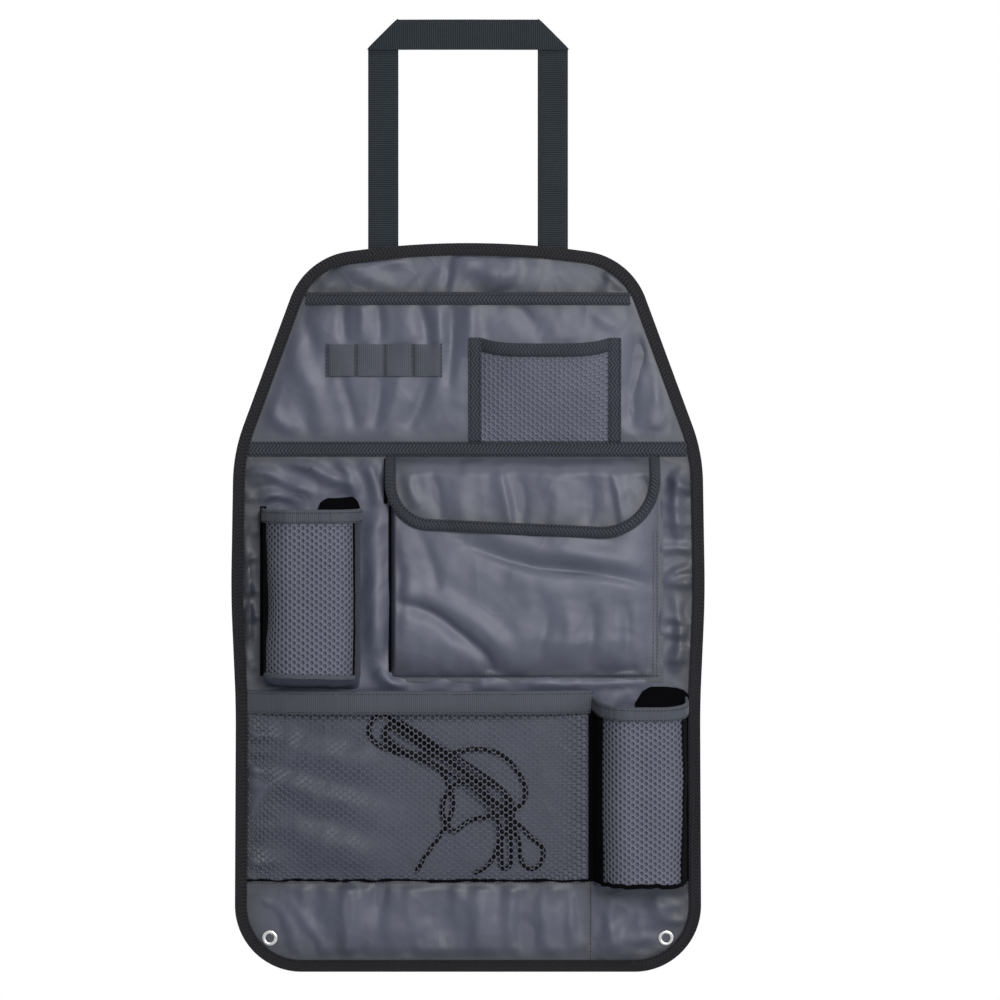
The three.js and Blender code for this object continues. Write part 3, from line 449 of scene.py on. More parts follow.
def card_z(x, y):
    left, right = CARD_LEFT + CARD_TAPE_WIDTH, CARD_RIGHT - CARD_TAPE_WIDTH
    height = rise((y - UPPER_FOOT) / (CARD_TOP - UPPER_FOOT))
    swell = CARD_DEPTH * fullness(x, left, right) * height
    return upper_z(x, y) + CLOTH + GAP + swell


def card_top(x):
    left, right = CARD_LEFT + CARD_TAPE_WIDTH, CARD_RIGHT - CARD_TAPE_WIDTH
    return CARD_TOP - TAPE - GAP - CARD_SAG * fullness(x, left, right)


BAG_FOLDS = [
    ([(-66, 6), (-32, 0), (-4, -22), (17, -39), (21, -56)], 6, -4.6, 0.3),
    ([(-58, 16), (-28, 12), (4, -8), (30, -32), (36, -52)], 9, 2.6),
    ([(-2, 53), (20, 44), (51, 33), (109, 29), (142, 21), (156, 17)], 6, -4.2, -0.3),
    ([(4, 66), (40, 55), (80, 45), (130, 39), (156, 28)], 9, 2.6),
    ([(30, 28), (80, 16), (120, 14)], 12, 1.6),
    ([(-56, 62), (-48, 30), (-50, -5), (-55, -40)], 7, 2.0),
    ([(-44, 70), (-30, 40), (-24, 12)], 6, -1.8),
    ([(60, 10), (66, -12), (58, -34), (62, -52)], 7, -2.2),
    ([(100, 6), (104, -16), (98, -40), (101, -52)], 6, -2.1),
    ([(82, 8), (84, -20), (80, -50)], 7, 1.6),
    ([(128, 8), (132, -20), (128, -50)], 5, -1.9),
]


def bag_z(x, y):
    edge = lambda d, run: rise(d / run)
    body = edge(x - BAG_LEFT, BAG_RUN) * edge(BAG_RIGHT - x, BAG_SLOPE) * edge(y - BAG_BOTTOM, BAG_SLOPE)
    bumps = 0.8 * drape(x, y, 158, 28, 11) + 0.9 * rumple(x, y, 28, 17) + 0.2 * crease(x, y, 44, 14)
    bumps = bumps + folded(x, y, BAG_FOLDS)
    gather = 1.3 * ripple(x, 9, 5) * np.exp(-(y - BAG_BOTTOM) / 14)
    under = 1 - 0.8 * smooth((y - 62) / 12)
    slack = smooth((x - BAG_LEFT) / 10) * smooth((BAG_RIGHT - x) / 10) * smooth((y - BAG_BOTTOM) / 8)
    full = body * BAG_DEPTH
    return LAYER_ONE + full + slack * np.maximum((bumps + gather) * under - 0.8, -0.85 * full)


FLAP_START = MIDDLE_SEAM - MIDDLE_TAPE_WIDTH / 2 - GAP
FLAP_HUNG_Z = LAYER_ONE + BAG_DEPTH + CLOTH + GAP + TAPE + GAP
FLAP_FOLDS = [
    ([(26, 114), (32, 92), (36, 64)], 5, 2.8, 0.4),
    ([(40, 114), (43, 92), (46, 64)], 6, -1.6),
    ([(118, 114), (124, 92), (127, 68)], 5, 2.2, -0.3),
    ([(98, 112), (100, 92), (96, 64)], 8, -2.0),
    ([(-50, 112), (-46, 96), (-40, 82)], 5, 2.2),
    ([(-30, 114), (-26, 94), (-22, 70)], 6, -1.8),
    ([(-8, 112), (-6, 92), (-4, 64)], 8, 1.6),
    ([(72, 112), (74, 90), (70, 62)], 7, 1.8),
    ([(142, 112), (146, 96), (148, 78)], 5, -1.6),
]


def flap_z(x, y):
    t = np.clip((FLAP_START - y) / FLAP_DROP, 0, 1)
    z = LAYER_ONE + (FLAP_HUNG_Z - LAYER_ONE) * np.sin(np.pi / 2 * t)
    bumps = 0.6 * drape(x, y, 66, 22, 21) + 0.7 * rumple(x, y, 22, 26) + 0.2 * crease(x, y, 38, 24) + 1.2
    bumps = bumps + folded(x, y, FLAP_FOLDS)
    gather = 1.4 * ripple(x, 9, 23) * np.exp(-(FLAP_START - y) / 14)
    return z + smooth((FLAP_START - y) / 8) * np.maximum(bumps + gather, 0)


LOWER_FOLDS = [
    ([(-180, -112), (-140, -132), (-100, -140), (-60, -150)], 12, 3.6, 0.2),
    ([(-186, -140), (-140, -160), (-90, -166)], 10, -3.0, 0.2),
    ([(-120, -95), (-80, -112), (-30, -118), (20, -112)], 14, 2.4),
    ([(30, -100), (52, -140), (60, -190), (66, -215)], 9, -2.8),
    ([(-160, -180), (-120, -190), (-90, -205)], 9, 2.6),
    ([(-20, -170), (0, -190), (10, -215)], 9, 2.2),
]


def lower_z(x, y):
    left = -half_width(CLEAR_EDGE, y)
    height = rise((y - LOWER_FLOOR) / LOWER_RUN)
    bumps = 0.9 * rumple(x, y, 60, 31)
    bumps = bumps + folded(x, y, LOWER_FOLDS)
    loose = fullness(x, left, LOWER_RIGHT) * height * (1 - 0.7 * smooth((y + 92) / 8))
    return LAYER_ONE + LOWER_DEPTH * fullness(x, left, LOWER_RIGHT) * height + loose * (bumps - 0.5)


PANEL_FOLDS = [
    ([(-17, 294), (-16, 276), (-18, 262)], 3.5, -2.6),
    ([(-8, 291), (10, 276), (60, 270)], 9, 2.6),
    ([(64, 287), (95, 276), (126, 262)], 5, -2.4),
    ([(84, 292), (112, 282), (132, 270)], 5, 2.2),
    ([(-118, 278), (-90, 276), (-60, 266)], 7, 2.4),
    ([(-100, 296), (-70, 286), (-40, 284)], 6, 1.8),
    ([(-75, 84), (-76, 30), (-76, -20), (-72, -62)], 9, 5.5),
    ([(-76, -50), (-66, -60), (-50, -68)], 5, 4.0),
    ([(-84, 122), (-76, 104), (-74, 84)], 5, 4.2),
    ([(-150, 126), (-120, 112), (-92, 100)], 5, 3.6, 0.3),
    ([(-184, 122), (-150, 104), (-124, 94)], 5, 3.0),
    ([(-110, 128), (-98, 112), (-92, 92)], 5, 3.4),
    ([(-176, 98), (-160, 94), (-140, 90)], 4, 2.2),
    ([(176, 122), (170, 90), (175, 50)], 5, 3.8),
    ([(166, 108), (178, 100), (188, 96)], 4, 2.2),
    ([(160, 22), (172, 32), (188, 34)], 4, 3.2),
    ([(170, 12), (177, -20), (170, -62)], 5, 3.6),
    ([(162, -6), (176, -12), (188, -10)], 4, 2.0),
    ([(-184, 60), (-178, 10), (-182, -50)], 4, 4.0, 0.4),
    ([(-182, -58), (-150, -62), (-100, -60)], 4, 2.6),
    ([(-186, -100), (-140, -118), (-96, -126), (-40, -134)], 13, 5.0, 0.2),
    ([(-188, -132), (-150, -146), (-100, -160), (-50, -172)], 12, 6.0, 0.3),
    ([(-160, -176), (-120, -190), (-70, -206)], 14, 5.5, 0.2),
    ([(40, -60), (90, -63), (150, -60)], 3.5, 2.2),
    ([(150, -236), (160, -252), (172, -258)], 7, 3.0),
    ([(120, -232), (116, -256), (122, -284)], 6, 2.8),
    ([(182, -120), (184, -170), (182, -220)], 4, 2.6),
]


def covered(x, y):
    """1 where a layer lies close on the panel, 0 where the panel is free."""
    inside = lambda low, high, value: smooth((value - low) / 5) * smooth((high - value) / 5)
    upper = inside(MIDDLE_SEAM - 3, UPPER_TOP - 3, y)
    bag = inside(BAG_LEFT - 3, BAG_RIGHT + 3, x) * inside(BAG_BOTTOM - 3, FLAP_START, y)
    lower = smooth((LOWER_RIGHT + 8 - x) / 8) * smooth((LOWER_TOP + 2 - y) / 6)
    away = smooth((-52 - x) / 52) * smooth((LOWER_TOP - 12 - y) / 10) * smooth((y - LOWER_FLOOR - 6) / 10)
    lower = lower * (1 - 0.75 * away)
    rings = np.exp(-((np.hypot(np.abs(x) - EYELET[0], y - EYELET[1]) / 12) ** 4))
    return np.maximum(np.maximum(upper, bag), np.maximum(lower, rings))


def panel_z(x, y):
    bumps = 1.6 * drape(x, y, 55, 17, 41) + 0.6 * crease(x, y, 26, 45) + 0.6
    bumps = bumps + folded(x, y, PANEL_FOLDS)
    edge = half_width(CLEAR_EDGE, y) - np.abs(x)
    middle = smooth(np.abs(y - MIDDLE_SEAM) / 9 - 0.7)
    gather = 4.6 * noise(0.25 * x, y, 7, 43) * np.exp(-np.maximum(edge, 0) / 20)
    crown = 1.6 * ripple(x, 9, 44) * np.exp(-np.maximum(300 - y, 0) / 10)
    free = smooth((edge + 3) / 9) * middle * smooth((298 - y) / 12) * smooth((y + 290) / 12)
    return free * (1 - 0.9 * covered(x, y)) * np.clip(bumps + gather + crown, 0, 7.5)


# Pieces of the panel

def rows_between(low, high, step):
    return np.linspace(low, high, max(2, int(round(abs(high - low) / step)) + 1))


def coons(sides, count_u, count_v):
    """Grid inside four curves: bottom and top from left to right, left and right from the bottom up."""
    bottom, right, top, left = sides
    bottom, top = resample(bottom, count_u), resample(top, count_u)
    left, right = resample(left, count_v), resample(right, count_v)
    u = np.linspace(0, 1, count_u)[None, :, None]
    v = np.linspace(0, 1, count_v)[:, None, None]
    ruled = (1 - v) * bottom[None] + v * top[None] + (1 - u) * left[:, None] + u * right[:, None]
    low = (1 - u) * bottom[0] + u * bottom[-1]
    high = (1 - u) * top[0] + u * top[-1]
    return ruled - (1 - v) * low - v * high


def back_panel():
    loop = CLOTH_EDGE
    low_right, high_right, high_left, low_left = (175, -282), (150, 262), (-150, 262), (-175, -282)
    sides = [
        loop_part(loop, low_left, low_right),
        loop_part(loop, low_right, high_right),
        loop_part(loop, high_right, high_left)[::-1],
        loop_part(loop, high_left, low_left)[::-1],
    ]
    flat = coons(sides, 160, 240)
    x, y = flat[..., 0], flat[..., 1]
    z = panel_z(x, y)
    edge = half_width(CLEAR_EDGE, y) - np.abs(x)
    ends = (297 - y) * 1.2, (y + 290) * 0.7
    # Painted shade: darker near the edge binding, the middle seam, the upper pocket's top and the panel's
    # ends; a strip beside the left holder stands for its cast shadow, and a fainter strip runs down the lower
    # right edge
    shaded = near_seam(edge / 1.4, np.abs(y - MIDDLE_SEAM) - 5, np.abs(y - UPPER_TOP) - 2, *ends)
    left_side = np.exp(-(((x + 184) / 17) ** 2)) * smooth((118 - y) / 20) * smooth((y + 66) / 10)
    right_side = 0.6 * np.exp(-(((x - 184) / 16) ** 2)) * smooth((60 - y) / 40)
    shaded = np.clip(shaded + left_side + right_side, 0, 1)
    return ply("back_panel_cloth", x, y, z, seam=shaded)


def edge_binding():
    loops = {inset: panel_loop(inset) for inset in (0, 0.3, TAPE, 4, 7, EDGE_TAPE_WIDTH)}
    length = np.arange(len(loops[0])) * 1.5
    wobble = 0.22 * ripple(length, 9, 51) + 0.15 * ripple(length, 3, 52)
    front_z, rear_z = LAYER_TWO + TAPE, -GAP - TAPE
    outer = [
        (EDGE_TAPE_WIDTH, rear_z), (4, rear_z), (0.3, rear_z + 0.25), (0, (front_z + rear_z) / 2),
        (0.3, front_z - 0.25), (4, front_z), (7, front_z), (EDGE_TAPE_WIDTH, front_z),
    ]
    inner = [
        (EDGE_TAPE_WIDTH, -GAP), (4, -GAP), (TAPE, -GAP), (TAPE, (front_z + rear_z) / 2),
        (TAPE, LAYER_TWO), (4, LAYER_TWO), (7, LAYER_TWO), (EDGE_TAPE_WIDTH, LAYER_TWO),
    ]
    puff = [0, 0.2, 0.5, 0.5, 0.8, 1.0, 0.6, 0]

    def rows(section, grow):
        return np.stack([
            stack(loops[inset][:, 0], loops[inset][:, 1], z + grow * amount * np.abs(wobble))
            for (inset, z), amount in zip(section, puff)
        ])

    return solid("edge_binding_tape", rows(outer, 1)[:, ::-1], rows(inner, 0)[:, ::-1], wrap=True)


def strap_leg(side):
    """Ends and direction of each line across one leg of the webbing, from below up."""
    runs = []
    for t in np.linspace(0, 1, 60):
        swing = math.sin(math.pi * t)
        bow = -0.9 * swing ** 2 + 0.35 * float(noise(t * 9, side * 3.0, 1, 61)) * swing
        ends = []
        for x, top in ((STRAP_OUTER, STRAP_LOW), (STRAP_INNER, STRAP_TOP)):
            ends.append([side * x, STRAP_END + t * (top - STRAP_END), STRAP_Z + bow])
        runs.append((ends, [0, 0, -1]))
    return runs


def strap_corner(side):
    """Flat fold at 45 degrees, from the leg round to the webbing in front of it."""
    outward = np.array([side, 1, 0]) / math.sqrt(2)
    runs = []
    for turn in np.linspace(0, math.pi, 14):
        z = STRAP_Z + STRAP_BEND * (1 - math.cos(turn))
        ends = [
            np.array([side * STRAP_OUTER, STRAP_LOW, z]) + outward * STRAP_BEND * math.sin(turn),
            np.array([side * STRAP_INNER, STRAP_TOP, z]) + outward * STRAP_BEND * math.sin(turn),
        ]
        runs.append((ends, outward * math.sin(turn) + np.array([0, 0, -math.cos(turn)])))
    return runs


def strap_across():
    before, after = strap_corner(-1)[-1], strap_corner(1)[-1]
    runs = []
    for t in np.linspace(0, 1, 70)[1:-1]:
        sag = (0.6 + 0.3 * float(noise(t * 8, 0.0, 1, 62))) * math.sin(math.pi * t)
        ends = np.array(before[0]) * (1 - t) + np.array(after[0]) * t + np.array([0, 0, sag])
        runs.append((ends, before[1]))
    return runs


def hanging_strap():
    """Webbing up the left leg, folded flat at 45 degrees, across and down the right leg."""
    left, right = strap_leg(-1)[:-1], strap_leg(1)[:-1]
    stations = left + strap_corner(-1) + strap_across() + strap_corner(1)[::-1] + right[::-1]
    width = np.linspace(0, 1, 13)
    thick = WEBBING / 2 * (1 - 0.55 * np.abs(2 * width - 1) ** 8)
    front, back = [], []
    for ends, normal in stations:
        line = np.array(ends[0])[None] * (1 - width[:, None]) + np.array(ends[1])[None] * width[:, None]
        lift = np.array(normal)[None] * thick[:, None]
        front.append(line + lift)
        back.append(line - lift)
    front, back = np.array(front), np.array(back)
    return solid("hanging_strap_webbing", front[:, ::-1], back[:, ::-1])


def upper_pocket_front():
    ys = np.concatenate([[MIDDLE_SEAM + 0.2], rows_between(UPPER_FOOT - 2, UPPER_TOP, CLOTH_STEP)])[:, None]
    s = np.linspace(-1, 1, 250)[None, :]
    x = s * half_width(CLEAR_EDGE, ys)
    sewn = np.abs(s) > 0.999
    x = np.where(sewn, s * half_width(CLOTH_EDGE, ys), x)
    z = upper_z(x, ys)
    edge = half_width(CLEAR_EDGE, ys) - np.abs(x)
    # Painted shade: the pocket cloth darker towards its sides, its foot and its top tape
    shaded = 0.8 * near_seam(edge, ys - UPPER_FOOT, UPPER_TOP - UPPER_TAPE_WIDTH - ys)
    return ply("upper_pocket_cloth", x, ys, z, seam=shaded)


def top_tape(name, xs, edge, face_at, width, seed):
    """Tape folded over the top edge of a pocket: down its front and a little down its rear."""
    wave = 0.25 * ripple(xs, 8, seed) + 0.12 * ripple(xs, 3, seed + 1)
    full = GAP + TAPE
    profile = [
        (-width, GAP), (-width, GAP + 0.5), (-width + 0.7, full), (-width / 2, full + 0.15), (-1.0, full),
        (0.2, GAP + TAPE * 0.85), (GAP + TAPE * 0.8, 0.2), (full, -CLOTH / 2), (GAP + TAPE * 0.8, -CLOTH),
        (GAP, -CLOTH),
    ]
    inner = [
        (-width, GAP), (-width, GAP), (-width + 0.7, GAP), (-width / 2, GAP), (-1.0, GAP),
        (0.1, GAP), (GAP, 0.1), (GAP, -CLOTH / 2), (GAP, -CLOTH * 0.9), (GAP, -CLOTH),
    ]

    def rows(section, grow):
        lines = []
        for dy, dz in section:
            puff = grow * np.abs(wave) * (-width < dy < 0)
            lines.append(stack(xs, edge + dy, face_at(xs, edge + min(dy, 0)) + dz + puff))
        return np.array(lines)

    return solid(name, rows(profile, 1), rows(inner, 0))


def upper_tape():
    s = np.linspace(-1, 1, 260)
    xs = s * half_width(CLEAR_EDGE, UPPER_TOP)
    edge = np.full(len(xs), float(UPPER_TOP))
    return top_tape("upper_pocket_tape", xs, edge, above(upper_z, CLOTH), UPPER_TAPE_WIDTH, 71)


def flat_tape(name, xs, ys, z_at, seed, grow=TAPE):
    """Tape sewn flat on a surface, a little puffed between its two stitched edges."""
    x, y = np.meshgrid(xs, ys)
    wave = 0.25 * np.abs(noise(x, y, 7, seed))
    rim = np.minimum(np.minimum(np.arange(len(ys)), np.arange(len(ys))[::-1])[:, None], 1)
    z = z_at(x, y) + GAP
    top = z + grow * (0.55 + 0.45 * rim) + wave * rim
    return solid(name, stack(x, y, top), stack(x, y, z))


def middle_tape():
    half = MIDDLE_TAPE_WIDTH / 2
    ys = rows_between(MIDDLE_SEAM - half, MIDDLE_SEAM + half, TAPE_STEP)
    xs = np.linspace(-1, 1, 240) * half_width(CLEAR_EDGE, MIDDLE_SEAM)
    return flat_tape("middle_seam_tape", xs, ys, level(LAYER_TWO - GAP), 73)


def pen_band():
    xs, lift = [], []
    pitch = PEN_WIDTH + PEN_SEAM
    for k in range(PEN_LOOPS):
        start = PEN_LEFT + PEN_SEAM + k * pitch
        xs.extend(np.linspace(start - PEN_SEAM, start, 4)[:-1])
        lift.extend([0.0] * 3)
        t = np.linspace(0, 1, 23)[:-1]
        xs.extend(start + t * PEN_WIDTH)
        lift.extend(np.sin(np.pi * t) ** 0.28)
    xs.extend(np.linspace(xs[-1] + 1, PEN_LEFT + PEN_LOOPS * pitch + PEN_SEAM, 4))
    lift.extend([0.0] * 4)
    xs, lift = np.array(xs), np.array(lift)
    ys = rows_between(PEN_TOP - PEN_HEIGHT, PEN_TOP, 1.3)
    x, y = np.meshgrid(xs, ys)
    slack = 1 + 0.12 * noise(x, y, 14, 75)
    rest = upper_z(x, y) + CLOTH + GAP
    z = rest + PEN_RISE * lift[None] * slack
    return ply("pen_loop_elastic", x, y, z, TAPE)


# Nets

def net_tile(hole_axes, segments=12):
    """One knitted cell: a six-sided tile with a round hole and strands that are thickest in the middle."""
    half_column, half_row = NET_COLUMN / 3, NET_ROW / 2
    corners = [(2 * half_column, 0), (half_column, half_row), (-half_column, half_row),
               (-2 * half_column, 0), (-half_column, -half_row), (half_column, -half_row)]
    ring = []
    for a, b in zip(corners, corners[1:] + corners[:1]):
        ring.append(a)
        ring.append(((a[0] + b[0]) / 2, (a[1] + b[1]) / 2))
    angles = [math.atan2(y, x) for x, y in ring]
    hole = [(hole_axes[0] * math.cos(a), hole_axes[1] * math.sin(a)) for a in angles]
    rings = [(ring, NET_STRAND), (hole, 0), (ring, -NET_STRAND)]
    verts = [(x, y, z) for points, z in rings for x, y in points]
    faces = []
    for i in range(segments):
        j = (i + 1) % segments
        faces.append([i, j, segments + j, segments + i])
        faces.append([segments + i, segments + j, 2 * segments + j, 2 * segments + i])
    return np.array(verts), faces


def geometry_tree(name, inputs):
    """Geometry Nodes tree with its graph, the sockets given and the one for the result."""
    tree = bpy.data.node_groups.new(name, "GeometryNodeTree")
    for label, kind in {"Geometry": "Geometry", **inputs}.items():
        tree.interface.new_socket(label, in_out="INPUT", socket_type="NodeSocket" + kind)
    tree.interface.new_socket("Geometry", in_out="OUTPUT", socket_type="NodeSocketGeometry")
    graph = Graph(tree)
    return tree, graph, graph.node("NodeGroupInput").outputs, graph.node("NodeGroupOutput").inputs["Geometry"]


def net_tree():
    """Geometry Nodes: one knitted cell on each point, joined into one net."""
    inputs = {"Cell": "Object", "Weld distance": "Float", "Material": "Material"}
    tree, g, given, result = geometry_tree("knit_net", inputs)
    cell = g.node("GeometryNodeObjectInfo", {"Object": given["Cell"]})
    place = g.node("GeometryNodeInstanceOnPoints", {
        "Points": given["Geometry"], "Instance": cell.outputs["Geometry"]})
    real = g.node("GeometryNodeRealizeInstances", {"Geometry": place.outputs["Instances"]})
    weld = g.node("GeometryNodeMergeByDistance", {
        "Geometry": real.outputs["Geometry"], "Distance": given["Weld distance"]})
    paint = g.node("GeometryNodeSetMaterial", {
        "Geometry": weld.outputs["Geometry"], "Material": given["Material"]})
    g.feed(result, paint.outputs["Geometry"])
    return tree


def run_tree(tree, source, inputs):
    """Mesh that a Geometry Nodes tree makes from a source object."""
    modifier = source.modifiers.new("nodes", "NODES")
    modifier.node_group = tree
    sockets = {item.name: item.identifier for item in tree.interface.items_tree if item.in_out == "INPUT"}
    for name, value in inputs.items():
        modifier[sockets[name]] = value
    bpy.context.view_layer.update()
    evaluated = source.evaluated_get(bpy.context.evaluated_depsgraph_get())
    mesh = bpy.data.meshes.new_from_object(evaluated)
    bpy.data.objects.remove(source)
    return mesh


def flat_net(width, height, hole_axes, look):
    """Vertices and faces of a flat net of whole cells that covers width by height, centred on 0."""
    columns, rows = int(width / NET_COLUMN) + 2, int(height / NET_ROW) + 2
    points = []
    for i in range(columns):
        across = (i - (columns - 1) / 2) * NET_COLUMN
        for j in range(rows):
            points.append((across, (j - (rows - 1) / 2 + 0.5 * (i % 2)) * NET_ROW, 0))
    cloud = bpy.data.meshes.new("net_points")
    cloud.from_pydata(points, [], [])
    source = link("net_points", cloud)
    tile_verts, tile_faces = net_tile(hole_axes)
    tile_mesh = bpy.data.meshes.new("net_cell")
    tile_mesh.from_pydata(tile_verts.tolist(), [], tile_faces)
    tile = link("net_cell", tile_mesh)
    mesh = run_tree(NET_TREE, source, {"Cell": tile, "Weld distance": 0.05, "Material": LOOKS[look]})
    bpy.data.objects.remove(tile)
    verts = np.empty(len(mesh.vertices) * 3)
    mesh.vertices.foreach_get("co", verts)
    faces = [list(p.vertices) for p in mesh.polygons]
    bpy.data.meshes.remove(mesh)
    return verts.reshape(-1, 3), faces


def net_rim(flat, faces):
    """Faces that close a cut net: each open edge joined to the one below it."""
    key = lambda point, h: (round(point[0], 2), round(point[1], 2), round(h, 2))
    at = {key(point, point[2]): k for k, point in enumerate(flat)}
    below = lambda k: at[key(flat[k], -flat[k][2])]
    edges = {(a, b) for face in faces for a, b in zip(face, face[1:] + face[:1])}
    rim = []
    for a, b in edges:
        heights = flat[a][2], flat[b][2]
        if (b, a) not in edges and min(heights) > -0.01 and sum(heights) > 0.01:
            rim.append(list(dict.fromkeys([b, a, below(a), below(b)])))
    return rim


def shade_points(piece, values):
    """Painted shade at each point of a piece, kept in the seam attribute, that darkens the cloth's colour."""
    layer = piece.data.attributes.new("seam", "FLOAT", "POINT")
    layer.data.foreach_set("value", np.asarray(values, dtype=np.float32))


def laid_on(surface, u, v, height):
    """Points at flat u, v on a surface, each moved by its height along the normal."""
    d = 0.4
    across = surface(u + d, v) - surface(u - d, v)
    up = surface(u, v + d) - surface(u, v - d)
    normal = np.cross(across, up)
    normal /= np.maximum(np.linalg.norm(normal, axis=1, keepdims=True), 1e-9)
    return surface(u, v) + normal * height[:, None]


def beyond(flat, face, half, axis):
    """True where a whole face lies past one edge of the net."""
    first = flat[face[0]][axis]
    return all(abs(flat[k][axis]) >= half - 1e-6 and flat[k][axis] * first > 0 for k in face)


def net_piece(name, width, height, hole_axes, surface, look="net", seam=None):
    """Knitted net bent over a surface: surface(u, v) gives the middle point for flat u, v in millimetres."""
    flat, faces = flat_net(width, height, hole_axes, look)
    halves = width / 2, height / 2
    u, v = (np.clip(flat[:, axis], -halves[axis], halves[axis]) for axis in (0, 1))
    points = laid_on(surface, u, v, flat[:, 2])
    faces = [face for face in faces if not any(beyond(flat, face, halves[axis], axis) for axis in (0, 1))]
    faces += net_rim(flat, faces)
    used = sorted({k for face in faces for k in face})
    order = {k: n for n, k in enumerate(used)}
    faces = [[order[k] for k in face] for face in faces]
    loops = np.array([used[k] for face in faces for k in face])
    uv = np.stack([u[loops], v[loops]], axis=1) * MM
    piece = mesh_piece(name, out(points[used]), faces, uv, sharp=180)
    # seam gives painted shade at flat u, v
    if seam is not None:
        shade_points(piece, seam(u[used], v[used]))
    return piece


def lower_net():
    top = LOWER_TOP - TAPE - GAP - LOWER_BAND + TUCK
    height = top - LOWER_FLOOR
    width = LOWER_RIGHT + float(half_width(CLOTH_EDGE, -150.0)) - 1
    middle_y = (top + LOWER_FLOOR) / 2

    def surface(u, v):
        y = middle_y + v
        left = -half_width(CLEAR_EDGE, y) - 6
        x = left + (u + width / 2) / width * (LOWER_RIGHT - 0.6 - left)
        drift = 0.9 * rumple(x, y, 55, 81)
        x = x + drift * smooth((width / 2 - np.abs(u)) / 30)
        return stack(x, y, lower_z(x, y) + CLOTH / 2)

    return net_piece("lower_pocket_knit", width, height, LOWER_HOLE, surface, "mesh")


def lower_band():
    top = LOWER_TOP - TAPE - GAP
    s = np.linspace(0, 1, 280)
    left = -float(half_width(CLEAR_EDGE, top))
    xs = left + s * (LOWER_RIGHT - left)
    edge = np.full(len(xs), top)
    return top_tape("lower_pocket_elastic", xs, edge, above(lower_z, CLOTH), LOWER_BAND, 85)


def lower_strip():
    top = LOWER_FLOOR - GAP
    right = LOWER_RIGHT
    loop = CLOTH_EDGE
    low_left = (-176, -284)
    bottom_y = float(loop[:, 1].min())
    left_x = -float(half_width(loop, top))
    left_side = loop_part(loop, (left_x, top), low_left)[::-1]
    bottom = np.vstack([loop_part(loop, low_left, (right, bottom_y)), [[right, bottom_y]]])
    bottom = bottom[bottom[:, 0] <= right + 1e-6]
    sides = [bottom, [(right, bottom_y), (right, top)], [left_side[-1], (right, top)], left_side]
    flat = coons(sides, 200, 52)
    x, y = flat[..., 0], flat[..., 1]
    hole = np.hypot(x + EYELET[0], y - EYELET[1])
    bumps = 1.5 * drape(x, y, 84, 20, 91) + 0.8 * rumple(x, y, 24, 98) + 0.9
    bumps = bumps + 0.3 * crease(x, y * 0.6, 30, 94) + folded(x, y, STRIP_FOLDS)
    gather = 2.4 * ripple(x, 9, 93) * np.exp(-(top - y) / 16)
    gather = gather + 2.4 * ripple(x, 10, 96) * np.exp(-(y - bottom_y) / 20)
    free = smooth((top - y) / 8) * smooth((y + 289) / 10) * smooth((hole - 8) / 8)
    free = free * smooth((180 - np.abs(x)) / 10) * smooth((right - x) / 8)
    z = LAYER_ONE + free * np.clip(bumps + gather, 0, 6)
    edge = half_width(CLEAR_EDGE, y) - np.abs(x)
    # Painted shade: the strip darker towards its top seam, the edge binding at its foot and side, and its
    # right end
    shaded = near_seam(top - y - 1, (y - bottom_y - EDGE_TAPE_WIDTH) * 0.7, edge * 0.7, (right - x) * 1.5)
    return ply("lower_pocket_strip_cloth", x, y, z, seam=shaded)


STRIP_FOLDS = [
    ([(-98, -228), (-96, -255), (-94, -288)], 12, 4.4),
    ([(-52, -228), (-56, -255), (-54, -288)], 13, 2.6),
    ([(10, -228), (8, -260), (10, -292)], 12, 5.4),
    ([(34, -230), (36, -255), (32, -290)], 10, 2.2),
    ([(-150, -240), (-130, -262), (-118, -286)], 6, 2.0),
    ([(-176, -236), (-150, -252), (-140, -280)], 6, 1.8),
    ([(44, -230), (42, -258), (46, -288)], 6, -1.8),
    ([(64, -230), (60, -258), (66, -288)], 7, 2.2),
    ([(90, -232), (84, -258), (90, -286)], 5, 1.8),
]


def card_net():
    left, right = CARD_LEFT + CARD_TAPE_WIDTH - CARD_TUCK, CARD_RIGHT - CARD_TAPE_WIDTH + CARD_TUCK
    width, height = right - left, CARD_TOP - UPPER_FOOT - CARD_BAND

    def surface(u, v):
        x = (left + right) / 2 + u
        t = (v + height / 2) / height
        y = UPPER_FOOT + t * (card_top(x) - CARD_BAND + TUCK - UPPER_FOOT)
        return stack(x, y, card_z(x, y) + CLOTH / 2)

    return net_piece("card_pocket_knit", width, height, CARD_HOLE, surface)


def card_backing():
    """Plain inner face of the card pocket's knit."""
    x = np.linspace(CARD_LEFT + CARD_TAPE_WIDTH - TUCK, CARD_RIGHT - CARD_TAPE_WIDTH + TUCK, 60)[None, :]
    t = np.linspace(0, 1, 40)[:, None]
    y = UPPER_FOOT + t * (card_top(x) - CARD_BAND + TUCK - UPPER_FOOT)
    x = np.broadcast_to(x, y.shape)
    return ply("card_pocket_backing", x, y, card_z(x, y) + CLOTH / 2 - BACKING_GAP, BACKING)


def card_band():
    left, right = CARD_LEFT + CARD_TAPE_WIDTH + GAP, CARD_RIGHT - CARD_TAPE_WIDTH - GAP
    xs = np.linspace(left, right, 110)
    return top_tape("card_pocket_tape", xs, card_top(xs), above(card_z, CLOTH), CARD_BAND, 95)


def card_side(name, left, seed):
    xs = np.linspace(left, left + CARD_TAPE_WIDTH, 9)
    ys = rows_between(UPPER_FOOT, CARD_TOP, CLOTH_STEP)
    return flat_tape(name, xs, ys, above(card_z, CLOTH), seed)


# Flap pocket

def dense(low, high, step, edge, fine):
    """Even steps with finer ones within edge of both ends."""
    ends = rows_between(low, low + edge, fine), rows_between(high - edge, high, fine)
    return np.concatenate([ends[0][:-1], rows_between(low + edge, high - edge, step), ends[1][1:]])


